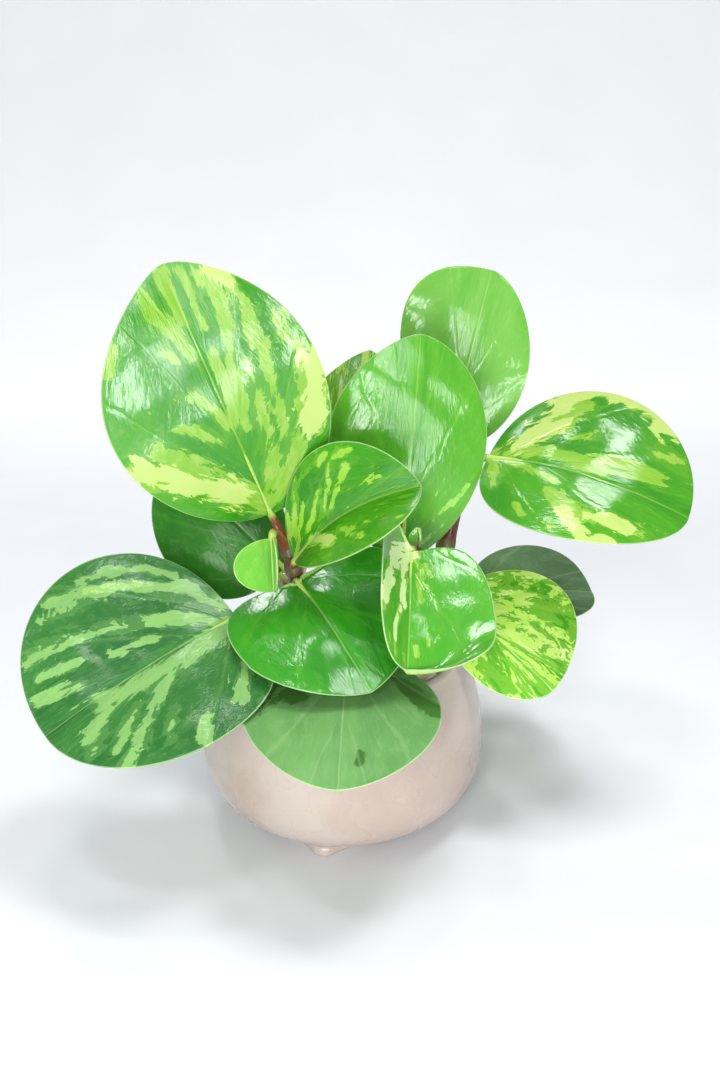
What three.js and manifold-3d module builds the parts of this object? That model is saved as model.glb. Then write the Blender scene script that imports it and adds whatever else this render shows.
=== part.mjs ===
// Potted peperomia: a young plant with thick glossy leaves in a round glazed pot on a square foot.
// Millimetres, +Z up. The origin is on the pot's axis, on the flat underside of its foot, and -Y is
// the front. Every leaf is one solid with its stalk, and sits 0.3 mm clear of the stem that carries it.

import * as THREE from 'three';
import { mergeVertices } from 'three/addons/utils/BufferGeometryUtils.js';
import Module from 'manifold-3d';

const wasm = await Module();
wasm.setup();

// ---------------------------------------------------------------------------------------------
// Driving dimensions
// ---------------------------------------------------------------------------------------------

const CLEARANCE = 0.3; // air between two pieces that touch
const ROUND = 40; // sides of everything turned about the pot's axis
const OVERCUT = 1; // how far a cutting solid runs past what it cuts

const POT = {
  height: 64,
  widestRadius: 52,
  widestHeight: 27,
  rimRadius: 43.5,
  wall: 4,
  heelRadius: 34, // where the bowl meets its foot
  heelFlare: [11, 1.5], // the wall leaves the foot this far out and up
  bellyRound: [10, 13], // how far below and above the widest point the wall stays upright
  shoulder: [6, 12], // the wall comes in to the rim from this far out and down
  floorHeight: 9, // inside
  footSide: 60,
  footHeight: 4.5,
  footCorner: 5,
  footBevel: 1,
  footOverlap: 0.5, // how deep the bowl sits in its foot
  footTurn: 35, // degrees about Z: one corner points forward and a little to the left
  outsideSteps: 6,
  insideSteps: 5,
  lipSteps: 4,
};

const SOIL = { top: 52.5, stemDepth: 14 };

const PEBBLES = {
  bedTop: 55.6,
  edge: 40.2, // how far out the middle of a pebble may lie, plus its own half length
  count: 40,
  halfLength: [3.6, 6.2], // smallest and largest
  widthShare: [0.65, 0.95], // width over length
  flatness: 0.62, // height over length
  tilt: 0.3,
  rise: 0.8, // how far a pebble may stand higher than the lowest one
  seed: 11,
};

const BLADE = {
  spokes: 20,
  rings: [0.5, 0.82, 1],
  thickness: 1.2,
  edgeThickness: 0.8,
};

const STALK = {
  sides: 6,
  steps: 4,
  stemRadius: 1.7,
  bladeRadius: 1.3,
  knee: 0.4, // where the stalk turns, unless the leaf says otherwise
  ribReach: 0.34, // how far the rib runs on under the blade, as a share of the midrib
  ribSteps: [0.3, 0.65, 1],
  ribDepth: 0.9,
  ribEndRadius: 0.45,
};

const STEM = { sides: 9, spacing: 3.2, swell: 0.55, swellLength: 2.6 };

// Each stem is a smooth curve through its points, from under the soil to its tip.
const STEMS = {
  stem_left: {
    through: [
      [-6, -1, SOIL.top - SOIL.stemDepth], [-8, -2, 56], [-13, -6, 80], [-17, -9, 99],
      [-19.5, -9, 108.5],
    ],
    radius: [3.1, 2.5],
  },
  stem_right: {
    through: [
      [20, 6, SOIL.top - SOIL.stemDepth], [24, 8, 56], [33, 15, 80],
      [38.5, 19.5, 96], [41, 21, 108], [43.7, 21, 120], [45.5, 19, 126],
    ],
    radius: [3.4, 2.9],
  },
  stem_centre: {
    through: [
      [14, -2, SOIL.top - SOIL.stemDepth], [17, -3, 56], [25, -5, 80], [27, -9, 96],
      [25.5, -11, 104],
    ],
    radius: [3, 2.5],
  },
};

// Leaves. base and tip are the two ends of the midrib, and faces is where the upper side looks. A pair
// holds the left half and the right half, seen from above with the tip ahead. width is how far the
// half reaches from the midrib; baseFullness and tipFullness shape the margin, and a small one is
// blunt; bend is how much the midrib arches, fold how far a half stands up from flat at the midrib,
// and curl how much more it turns by the margin, all in degrees; lobe is how far the heart-shaped
// base reaches back, as a share of the length. joins is the height at which the stalk leaves its stem,
// and knee how far before the blade the stalk turns, as a share of its reach.
const LEAVES = {
  leaf_upper_left: {
    stem: 'stem_left', joins: 107.5, base: [-24, -8, 117], tip: [-53, -25, 201], faces: [0.1, -1, 0.25],
    width: [37, 34], baseFullness: [0.6, 0.5], tipFullness: [0.62, 0.5],
    bend: 18, fold: [6, 6], curl: [-8, -8], colour: 0x7fc24a,
  },
  leaf_upper_centre: {
    stem: 'stem_right', joins: 84, base: [21, 5, 94], tip: [27, 10, 175], faces: [0.05, -1, 0.3],
    width: [30, 27], baseFullness: 0.72, tipFullness: [0.68, 0.62],
    bend: 25, fold: [-6, -6], curl: [-10, -10], colour: 0x58a83e,
  },
  leaf_upper_right: {
    stem: 'stem_right', joins: 112, base: [39, 30, 131], tip: [54, 42, 193], faces: [-0.1, -1, 0.35],
    width: [28, 22], baseFullness: [0.65, 0.5], tipFullness: [0.34, 0.6],
    bend: 18, fold: [-4, -4], curl: [-8, -8], wave: [2, 1.5, 0.1], colour: 0x66b644,
  },
  leaf_right: {
    stem: 'stem_right', joins: 123.5, base: [52, 12, 131.5], tip: [116, -16, 118], faces: [0.1, -0.8, 0.6],
    width: [38, 26], baseFullness: [0.42, 0.4], tipFullness: [0.46, 0.58],
    bend: 45, fold: [-4, 10], curl: [-14, -10], sweep: 1, colour: 0x8ccb58,
  },
  leaf_back_centre: {
    stem: 'stem_left', joins: 92, knee: 0.15, base: [-13, 24, 92], tip: [10, 40, 164.5], faces: [-0.1, -1, 0.1],
    width: [19, 22], baseFullness: [0.9, 0.5], tipFullness: [0.85, 0.6],
    bend: 15, fold: [0, 0], curl: [-10, -10], colour: 0x7dbb4b,
  },
  leaf_back_left: {
    stem: 'stem_left', joins: 80, base: [-21, 5, 92], tip: [-62, 20, 128], faces: [-0.3, -0.8, 0.6],
    width: [25, 17], baseFullness: [0.45, 0.9], tipFullness: 0.5,
    bend: 20, fold: [0, 0], curl: [-10, -10], colour: 0x3f7d35,
  },
  leaf_lower_left: {
    stem: 'stem_left', joins: 74, base: [-36, -20, 84], tip: [-92, -60, 61], faces: [-0.1, -0.6, 0.8],
    width: [39, 46], baseFullness: [0.38, 0.43], tipFullness: [0.5, 0.5],
    bend: 20, fold: [12, 12], curl: [-10, -10], lobe: [0.08, 0], colour: 0x5fa04c,
  },
  leaf_front: {
    stem: 'stem_left', joins: 91, base: [-15, -14, 94.5], tip: [10, -55, 74], faces: [0, -0.5, 0.9],
    width: [33, 31], baseFullness: [0.36, 0.38], tipFullness: 0.66,
    bend: 25, fold: [4, 4], curl: [-14, -14], lobe: [0.2, 0.2], colour: 0x3f9a38,
  },
  leaf_folded: {
    stem: 'stem_left', joins: 97, base: [-16, -13, 102], tip: [26, -25, 132], faces: [-0.2, -0.65, 0.75],
    width: [26, 20], baseFullness: [0.9, 0.8], tipFullness: [0.7, 0.6],
    bend: 30, fold: [40, 22], curl: [-5, -5], colour: 0x79c04e,
  },
  leaf_young: {
    stem: 'stem_left', joins: 104, base: [-23, -21, 112.5], tip: [-22, -28, 96.5], faces: [-0.5, -0.8, 0.3],
    width: [14, 13], baseFullness: 0.5, tipFullness: 0.45,
    bend: 0, fold: [50, 50], curl: [0, 0], colour: 0x9fdb5c,
  },
  leaf_cupped: {
    stem: 'stem_centre', joins: 95, base: [23, -19, 107.5], tip: [41, -50, 83.5], faces: [0.1, -0.9, 0.5],
    width: [19, 22], baseFullness: [0.5, 0.5], tipFullness: [0.5, 0.3],
    bend: 10, fold: [10, 0], curl: [20, -12],
    horn: { reach: 0.5, angle: 195, spread: 11 }, lip: { height: 4, angle: 35, spread: 40 },
    colour: 0x79c650,
  },
  leaf_bud: {
    stem: 'stem_centre', joins: 103, base: [26, -9, 107], tip: [26, -8.5, 112], faces: [-0.5, -0.7, 0.5],
    width: [2.6, 2.6], baseFullness: 0.5, tipFullness: 0.9,
    bend: 10, fold: [40, 40], curl: [0, 0], colour: 0xb6e070,
  },
  leaf_lower_right: {
    stem: 'stem_centre', joins: 78, base: [39, 0, 83], tip: [73, -25, 58.5], faces: [0.1, -0.8, 0.6],
    width: [31, 16], baseFullness: 0.5, tipFullness: [0.5, 0.45],
    bend: 10, fold: [0, 0], curl: [-8, -8], colour: 0xa5d56a,
  },
  leaf_far_right: {
    stem: 'stem_right', joins: 73, base: [49, 25, 71], tip: [98, 35, 70], faces: [0, -0.35, 0.9],
    width: [28, 16], baseFullness: 0.5, tipFullness: 0.5,
    bend: 20, fold: [4, 4], curl: [-10, -10], colour: 0x6f8d6c,
  },
  leaf_over_rim: {
    stem: 'stem_left', joins: 66, base: [2, -17, 70], tip: [0, -88, 60], faces: [0.05, -0.2, 1],
    width: [31, 33], baseFullness: [0.75, 0.5], tipFullness: [0.7, 0.6],
    bend: 25, fold: [-3, -8], curl: [5, 5], colour: 0x6f9468,
  },
  leaf_rear_left: {
    stem: 'stem_left', joins: 76, base: [-24, 16, 86], tip: [-56, 66, 84], faces: [-0.25, 0.45, 0.9],
    width: [26, 27], baseFullness: 0.45, tipFullness: 0.55,
    bend: 28, fold: [4, 4], curl: [-12, -12], colour: 0x4f9440,
  },
  leaf_rear_high: {
    stem: 'stem_right', joins: 96, base: [24, 34, 108], tip: [4, 62, 152], faces: [-0.2, 0.9, 0.5],
    width: [25, 24], baseFullness: 0.5, tipFullness: 0.6,
    bend: 25, fold: [5, 5], curl: [-10, -10], colour: 0x6db548,
  },
  leaf_rear_right: {
    stem: 'stem_right', joins: 68, base: [38, 38, 71], tip: [56, 86, 58], faces: [0.2, 0.4, 0.9],
    width: [24, 24], baseFullness: 0.45, tipFullness: 0.55,
    bend: 28, fold: [4, 4], curl: [-12, -12], colour: 0x5c9f45,
  },
  leaf_rear_low: {
    stem: 'stem_left', joins: 68, base: [-4, 22, 72], tip: [-2, 82, 60], faces: [0, 0.3, 1],
    width: [28, 27], baseFullness: 0.5, tipFullness: 0.6,
    bend: 30, fold: [-2, -2], curl: [-4, -4], colour: 0x5a9a4a,
  },
};

const GLAZE = { colour: 0xeadfd6, roughness: 0.25 };
const EARTH = { colour: 0x4a382b, roughness: 0.95 };
const GRAVEL = { colour: 0xb39c82, roughness: 0.7 };
const BARK = { colour: 0x7a3f2a, roughness: 0.5 };
const LEAF_ROUGHNESS = 0.3;

// ---------------------------------------------------------------------------------------------
// Solids
// ---------------------------------------------------------------------------------------------

const vec = ([x, y, z]) => new THREE.Vector3(x, y, z);
const radians = THREE.MathUtils.degToRad;

function solidFrom(geometry) {
  const bare = new THREE.BufferGeometry();
  bare.setAttribute('position', geometry.getAttribute('position'));
  bare.setIndex(geometry.getIndex());
  const merged = mergeVertices(bare, 1e-4);
  return new wasm.Manifold(new wasm.Mesh({
    numProp: 3,
    vertProperties: new Float32Array(merged.getAttribute('position').array),
    triVerts: new Uint32Array(merged.getIndex().array),
  }));
}

function solidFromPoints(points, triangles) {
  const geometry = new THREE.BufferGeometry().setFromPoints(points);
  geometry.setIndex(triangles.flat());
  return solidFrom(geometry);
}

function meshFrom(name, solid, { colour, roughness }) {
  const { vertProperties, triVerts } = solid.getMesh();
  const geometry = new THREE.BufferGeometry();
  geometry.setAttribute('position', new THREE.BufferAttribute(vertProperties, 3));
  geometry.setIndex(new THREE.BufferAttribute(triVerts, 1));
  geometry.computeVertexNormals();
  const material = new THREE.MeshStandardMaterial({ color: colour, roughness, metalness: 0 });
  const mesh = new THREE.Mesh(geometry, material);
  mesh.name = name;
  return mesh;
}

// A closed tube of changing radius round a list of centre points.
function taperedTube(centres, radii, sides) {
  const points = [];
  const triangles = [];
  let across = new THREE.Vector3(0, 1, 0);
  centres.forEach((centre, i) => {
    const along = centres[Math.min(i + 1, centres.length - 1)].clone()
      .sub(centres[Math.max(i - 1, 0)]).normalize();
    across = across.clone().addScaledVector(along, -across.dot(along)).normalize();
    const up = along.clone().cross(across);
    for (let j = 0; j < sides; j++) {
      const angle = (2 * Math.PI * j) / sides;
      points.push(centre.clone()
        .addScaledVector(across, radii[i] * Math.cos(angle))
        .addScaledVector(up, radii[i] * Math.sin(angle)));
    }
  });
  for (let i = 0; i + 1 < centres.length; i++) {
    for (let j = 0; j < sides; j++) {
      const [a, b] = [i * sides + j, i * sides + ((j + 1) % sides)];
      triangles.push([a, b, b + sides], [a, b + sides, a + sides]);
    }
  }
  const last = (centres.length - 1) * sides;
  for (let j = 1; j + 1 < sides; j++) {
    triangles.push([0, j + 1, j], [last, last + j, last + j + 1]);
  }
  return solidFromPoints(points, triangles);
}

// ---------------------------------------------------------------------------------------------
// Pot: a bowl turned about Z, with a rolled rim, fused to a square foot
// ---------------------------------------------------------------------------------------------

// Half section of the bowl, r to the right and z up. inset moves it in from the outer face.
function bowlSide(inset, steps) {
  const heel = POT.heelRadius - inset;
  const belly = POT.widestRadius - inset;
  const rim = POT.rimRadius - inset;
  const floor = inset > 0 ? POT.floorHeight + inset - POT.wall : POT.footHeight - POT.footOverlap;
  const [flareOut, flareUp] = POT.heelFlare;
  const [roundBelow, roundAbove] = POT.bellyRound;
  const [shoulderOut, shoulderDown] = POT.shoulder;
  const point = (r, z) => new THREE.Vector2(r, z);
  const lower = new THREE.CubicBezierCurve(
    point(heel, floor), point(heel + flareOut, floor + flareUp),
    point(belly, floor + roundBelow), point(belly, POT.widestHeight));
  const upper = new THREE.CubicBezierCurve(
    point(belly, POT.widestHeight), point(belly, POT.widestHeight + roundAbove),
    point(rim + shoulderOut, POT.height - shoulderDown), point(rim, POT.height - POT.wall / 2));
  return [point(0, floor), ...lower.getPoints(steps), ...upper.getPoints(steps).slice(1)];
}

function turned(points) {
  return solidFrom(new THREE.LatheGeometry(points, ROUND).rotateX(Math.PI / 2));
}

// The inside of the bowl, filled level up to top.
function cavitySection(inset, top) {
  const side = bowlSide(inset, POT.insideSteps);
  const above = side.findIndex((p) => p.y > top);
  if (above < 0) return [...side, new THREE.Vector2(0, side[side.length - 1].y)];
  const [low, high] = [side[above - 1], side[above]];
  const edge = low.clone().lerp(high, (top - low.y) / (high.y - low.y));
  return [...side.slice(0, above), edge, new THREE.Vector2(0, top)];
}

function pot() {
  const lip = POT.wall / 2;
  const ring = POT.rimRadius - lip; // middle of the rolled rim
  const inner = POT.rimRadius - POT.wall;
  const roll = Array.from({ length: POT.lipSteps }, (_, i) => {
    const angle = (Math.PI * (i + 1)) / POT.lipSteps;
    return new THREE.Vector2(ring + lip * Math.cos(angle), POT.height - lip + lip * Math.sin(angle));
  });
  const outside = [...bowlSide(0, POT.outsideSteps), ...roll];
  const bowl = turned([...outside, new THREE.Vector2(0, POT.height - lip)]);
  const cavity = turned(cavitySection(POT.wall, POT.height));
  const opening = turned([
    new THREE.Vector2(0, POT.height - lip - OVERCUT), new THREE.Vector2(inner, POT.height - lip - OVERCUT),
    new THREE.Vector2(inner, POT.height + OVERCUT), new THREE.Vector2(0, POT.height + OVERCUT),
  ]);
  return bowl.subtract(cavity.add(opening)).add(foot());
}

function foot() {
  const reach = POT.footSide / 2 - POT.footBevel;
  const corner = POT.footCorner - POT.footBevel;
  const outline = new THREE.Shape();
  for (const [sx, sy, turn] of [[1, 1, 0], [-1, 1, 1], [-1, -1, 2], [1, -1, 3]]) {
    const start = (turn * Math.PI) / 2;
    outline.absarc(
      sx * (reach - corner), sy * (reach - corner), corner, start, start + Math.PI / 2, false);
  }
  const plate = new THREE.ExtrudeGeometry(outline, {
    depth: POT.footHeight - 2 * POT.footBevel,
    bevelThickness: POT.footBevel,
    bevelSize: POT.footBevel,
    bevelSegments: 2,
    curveSegments: 4,
  });
  plate.translate(0, 0, POT.footBevel);
  plate.rotateZ(radians(POT.footTurn));
  return solidFrom(plate);
}

// ---------------------------------------------------------------------------------------------
// Stems
// ---------------------------------------------------------------------------------------------

function stemCurve(name) {
  return new THREE.CatmullRomCurve3(STEMS[name].through.map(vec), false, 'centripetal');
}

function pointAtHeight(curve, height) {
  let [low, high] = [0, 1];
  for (let i = 0; i < 40; i++) {
    const middle = (low + high) / 2;
    if (curve.getPoint(middle).z < height) low = middle;
    else high = middle;
  }
  return curve.getPoint(low);
}

// The stem thickens a little wherever a stalk leaves it. extra makes the same stem fatter and longer.
function stemSolid(name, extra = 0) {
  const curve = stemCurve(name);
  const [foot, top] = STEMS[name].radius;
  const joints = Object.values(LEAVES).filter((leaf) => leaf.stem === name).map((leaf) => leaf.joins);
  const steps = Math.round(curve.getLength() / STEM.spacing);
  const centres = [];
  const radii = [];
  for (let i = 0; i <= steps; i++) {
    const centre = curve.getPointAt(i / steps);
    const swollen = joints.map((z) => Math.exp(-(((centre.z - z) / STEM.swellLength) ** 2)));
    centres.push(centre);
    radii.push(foot + (top - foot) * (i / steps) + STEM.swell * Math.max(0, ...swollen) + extra);
  }
  if (extra) {
    centres.unshift(centres[0].clone().addScaledVector(curve.getTangentAt(0), -extra));
    radii.unshift(radii[0]);
    centres.push(centres[steps + 1].clone().addScaledVector(curve.getTangentAt(1), extra));
    radii.push(radii[radii.length - 1]);
  }
  return taperedTube(centres, radii, STEM.sides);
}

// ---------------------------------------------------------------------------------------------
// Leaves
// ---------------------------------------------------------------------------------------------

const half = (value, sign) => (Array.isArray(value) ? value[sign > 0 ? 0 : 1] : value);

function bell(angle, { angle: middle, spread }) {
  return Math.exp(-(((THREE.MathUtils.radToDeg(angle) - middle) / spread) ** 2));
}

// The margin, flat: t runs along the midrib from 0 to 1, across is signed, and angle 0 is the tip.
function margin(leaf, angle) {
  const cos = Math.cos(angle);
  const sin = Math.sin(angle);
  const t = (1 + cos) / 2;
  const a = half(leaf.baseFullness, sin);
  const b = half(leaf.tipFullness, sin);
  const peak = (a / (a + b)) ** a * (b / (a + b)) ** b;
  const share = t > 0 && t < 1 ? (t ** a * (1 - t) ** b) / peak : 0;
  const lobe = half(leaf.lobe ?? 0, sin) * Math.abs(sin) ** 1.2 * Math.max(0, -cos) ** 0.8;
  const horn = leaf.horn ? leaf.horn.reach * bell(angle, leaf.horn) : 0;
  return { t: t - lobe - horn, across: Math.sign(sin) * share * half(leaf.width, sin) };
}

// The midrib is an arc: its point at t, with the directions along, to the left and up.
function midrib(leaf, t) {
  const base = vec(leaf.base);
  const chord = vec(leaf.tip).sub(base);
  const length = chord.length();
  chord.normalize();
  const up = vec(leaf.faces);
  up.addScaledVector(chord, -up.dot(chord)).normalize();
  const bend = radians(leaf.bend);
  const angle = bend * (t - 0.5);
  const radius = bend ? length / (2 * Math.sin(bend / 2)) : 0;
  const forward = bend ? radius * Math.sin(angle) + length / 2 : length * t;
  const rise = bend ? radius * (Math.cos(angle) - Math.cos(bend / 2)) : 0;
  const sideways = up.clone().cross(chord);
  const along = chord.clone().multiplyScalar(Math.cos(angle)).addScaledVector(up, -Math.sin(angle));
  const above = up.clone().multiplyScalar(Math.cos(angle)).addScaledVector(chord, Math.sin(angle));
  const point = base.addScaledVector(chord, forward).addScaledVector(up, rise)
    .addScaledVector(sideways, 4 * (leaf.sweep ?? 0) * t * (1 - t));
  return { point, along, above, left: above.clone().cross(along) };
}

// A point of the upper face: out from the middle of the midrib by the share ring, towards angle.
function bladePoint(leaf, ring, angle) {
  const edge = margin(leaf, angle);
  const t = 0.5 + ring * (edge.t - 0.5);
  const across = ring * edge.across;
  const { point, above, left } = midrib(leaf, t);
  const sign = across > 0 ? 1 : -1;
  const distance = Math.abs(across);
  const width = half(leaf.width, sign);
  const fold = radians(half(leaf.fold, sign));
  const curl = radians(half(leaf.curl, sign)) / width;
  const turn = fold + curl * distance;
  const out = curl ? (Math.sin(turn) - Math.sin(fold)) / curl : distance * Math.cos(fold);
  let rise = curl ? (Math.cos(fold) - Math.cos(turn)) / curl : distance * Math.sin(fold);
  if (leaf.wave) {
    const [height, waves, start] = leaf.wave;
    const phase = waves * t + start + (sign > 0 ? 0 : 0.37);
    rise += height * Math.sin(2 * Math.PI * phase) * (distance / width) ** 2;
  }
  if (leaf.lip) rise += leaf.lip.height * bell(angle, leaf.lip) * ring ** 3;
  return point.addScaledVector(left, sign * out).addScaledVector(above, rise);
}

// The blade is a closed shell: the upper face, the same net again lower down, and a strip at the edge.
function bladeSolid(leaf) {
  const { spokes, rings } = BLADE;
  const upper = [bladePoint(leaf, 0, 0)];
  for (const ring of rings) {
    for (let i = 0; i < spokes; i++) upper.push(bladePoint(leaf, ring, (2 * Math.PI * i) / spokes));
  }
  const faces = [];
  const at = (ring, i) => 1 + ring * spokes + (i % spokes);
  for (let i = 0; i < spokes; i++) {
    faces.push([0, at(0, i), at(0, i + 1)]);
    for (let ring = 1; ring < rings.length; ring++) {
      faces.push([at(ring - 1, i), at(ring, i), at(ring, i + 1)]);
      faces.push([at(ring - 1, i), at(ring, i + 1), at(ring - 1, i + 1)]);
    }
  }
  const skin = new THREE.BufferGeometry().setFromPoints(upper);
  skin.setIndex(faces.flat());
  skin.computeVertexNormals();
  const normals = skin.getAttribute('normal');
  const lower = upper.map((point, i) => {
    const ring = i === 0 ? 0 : rings[Math.floor((i - 1) / spokes)];
    const thickness = BLADE.thickness + (BLADE.edgeThickness - BLADE.thickness) * ring ** 3;
    return point.clone().addScaledVector(new THREE.Vector3().fromBufferAttribute(normals, i), -thickness);
  });
  const count = upper.length;
  const under = faces.map(([a, b, c]) => [a + count, c + count, b + count]);
  const rim = [];
  for (let i = 0; i < spokes; i++) {
    const [a, b] = [at(rings.length - 1, i), at(rings.length - 1, i + 1)];
    rim.push([a + count, b + count, b], [a + count, b, a]);
  }
  return solidFromPoints([...upper, ...lower], [...faces, ...under, ...rim]);
}

// The stalk curves from the middle of its stem to the blade, and runs on under it as a raised rib.
function stalkSolid(leaf) {
  const start = pointAtHeight(stemCurve(leaf.stem), leaf.joins);
  const { point: base, along, above } = midrib(leaf, 0);
  base.addScaledVector(above, -BLADE.thickness / 2);
  const turnsAt = (leaf.knee ?? STALK.knee) * base.distanceTo(start);
  const knee = base.clone().addScaledVector(along, -turnsAt);
  const curve = new THREE.QuadraticBezierCurve3(start, knee, base);
  const centres = curve.getPoints(STALK.steps);
  const radii = centres.map((_, i) => THREE.MathUtils.lerp(
    STALK.stemRadius, STALK.bladeRadius, i / STALK.steps));
  for (const share of STALK.ribSteps) {
    const rib = midrib(leaf, share * STALK.ribReach);
    centres.push(rib.point.addScaledVector(rib.above, -STALK.ribDepth));
    radii.push(THREE.MathUtils.lerp(STALK.bladeRadius, STALK.ribEndRadius, share));
  }
  return taperedTube(centres, radii, STALK.sides);
}

// ---------------------------------------------------------------------------------------------
// Soil and the pebbles on it
// ---------------------------------------------------------------------------------------------

function seededDraw(seed) {
  let state = seed;
  return () => {
    state = (state * 16807) % 2147483647;
    return state / 2147483647;
  };
}

// Rounded stones in a sunflower pattern, sunk into a thin bed that holds them together.
function pebbleSolid() {
  const draw = seededDraw(PEBBLES.seed);
  const golden = Math.PI * (3 - Math.sqrt(5));
  const bed = cavitySection(POT.wall + CLEARANCE, PEBBLES.bedTop)
    .filter((p) => p.y > SOIL.top + CLEARANCE);
  const floor = SOIL.top + CLEARANCE;
  const stones = [turned([new THREE.Vector2(0, floor), new THREE.Vector2(bed[0].x, floor), ...bed])];
  const between = ([low, high]) => low + (high - low) * draw();
  for (let i = 0; i < PEBBLES.count; i++) {
    const size = between(PEBBLES.halfLength);
    const reach = (PEBBLES.edge - size) * Math.sqrt((i + 0.5) / PEBBLES.count);
    const angle = i * golden + 0.3 * draw();
    const stone = new THREE.DodecahedronGeometry(1);
    stone.rotateX(6 * draw());
    stone.scale(size, size * between(PEBBLES.widthShare), size * PEBBLES.flatness);
    stone.rotateZ(6 * draw());
    stone.rotateX(PEBBLES.tilt * (draw() - 0.5));
    stone.translate(
      reach * Math.cos(angle), reach * Math.sin(angle), PEBBLES.bedTop + PEBBLES.rise * draw());
    stones.push(solidFrom(stone));
  }
  const below = turned([
    new THREE.Vector2(0, 0), new THREE.Vector2(POT.widestRadius, 0),
    new THREE.Vector2(POT.widestRadius, floor), new THREE.Vector2(0, floor),
  ]);
  return wasm.Manifold.union(stones).subtract(below);
}

// ---------------------------------------------------------------------------------------------
// Assembly
// ---------------------------------------------------------------------------------------------

const stems = Object.keys(STEMS);
const stemSpace = Object.fromEntries(stems.map((name) => [name, stemSolid(name, CLEARANCE)]));
const allStemSpace = wasm.Manifold.union(Object.values(stemSpace));

const potGroup = new THREE.Group();
potGroup.add(meshFrom('ceramic_pot', pot(), GLAZE));
const soil = turned(cavitySection(POT.wall + CLEARANCE, SOIL.top));
potGroup.add(meshFrom('soil', soil.subtract(allStemSpace), EARTH));
potGroup.add(meshFrom('pebbles', pebbleSolid().subtract(allStemSpace), GRAVEL));

const plantGroup = new THREE.Group();
for (const name of stems) plantGroup.add(meshFrom(name, stemSolid(name), BARK));
for (const [name, leaf] of Object.entries(LEAVES)) {
  const solid = bladeSolid(leaf).add(stalkSolid(leaf)).subtract(stemSpace[leaf.stem]);
  plantGroup.add(meshFrom(name, solid, { colour: leaf.colour, roughness: LEAF_ROUGHNESS }));
}

const plant = new THREE.Group();
plant.add(potGroup, plantGroup);

export default plant;
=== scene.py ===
import math

import bpy
import numpy as np
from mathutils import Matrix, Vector


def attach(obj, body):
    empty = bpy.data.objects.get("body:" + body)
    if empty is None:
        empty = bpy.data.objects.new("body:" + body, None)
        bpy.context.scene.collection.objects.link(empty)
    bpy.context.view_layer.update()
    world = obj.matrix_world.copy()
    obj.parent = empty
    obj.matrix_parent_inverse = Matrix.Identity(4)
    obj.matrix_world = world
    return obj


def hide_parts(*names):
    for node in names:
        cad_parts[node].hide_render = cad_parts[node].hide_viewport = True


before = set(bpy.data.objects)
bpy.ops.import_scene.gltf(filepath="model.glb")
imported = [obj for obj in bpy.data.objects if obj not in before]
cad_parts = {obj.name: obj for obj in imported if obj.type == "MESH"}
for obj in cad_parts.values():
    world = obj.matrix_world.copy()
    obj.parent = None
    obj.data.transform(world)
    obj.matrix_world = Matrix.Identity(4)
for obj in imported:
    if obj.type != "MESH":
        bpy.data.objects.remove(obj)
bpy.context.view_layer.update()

# --- The view ---
# The plant is looked down on by twenty degrees from close by, standing a little left of the
# middle of a tall picture.
camera = bpy.data.objects.new("camera", bpy.data.cameras.new("camera"))
bpy.context.scene.collection.objects.link(camera)
camera.data.lens = 35
camera.data.sensor_width = 36
camera.location = (0.0064, -0.3478, 0.2311)
camera.rotation_euler = (math.radians(70), 0, 0)
camera.data.clip_start = 0.01
bpy.context.scene.camera = camera

# --- The pot ---
# A round bowl thrown in pale clay, drawn in towards a rolled rim and set on a square foot. The
# glaze is off-white, glossy, and crazed all over with hair-fine lines.
POT_HEIGHT = 64
BELLY_RADIUS = 52
BELLY_HEIGHT = 27
RIM_RADIUS = 43.5
WALL = 4
FLOOR = 5
HEEL_RADIUS = 34
BOWL_SIDES = 144
BOWL_WOBBLE = 0.18
FOOT_HALF_SIDE = 30
FOOT_CORNER = 5
FOOT_HEIGHT = 4.5
FOOT_TURN = 35


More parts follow.
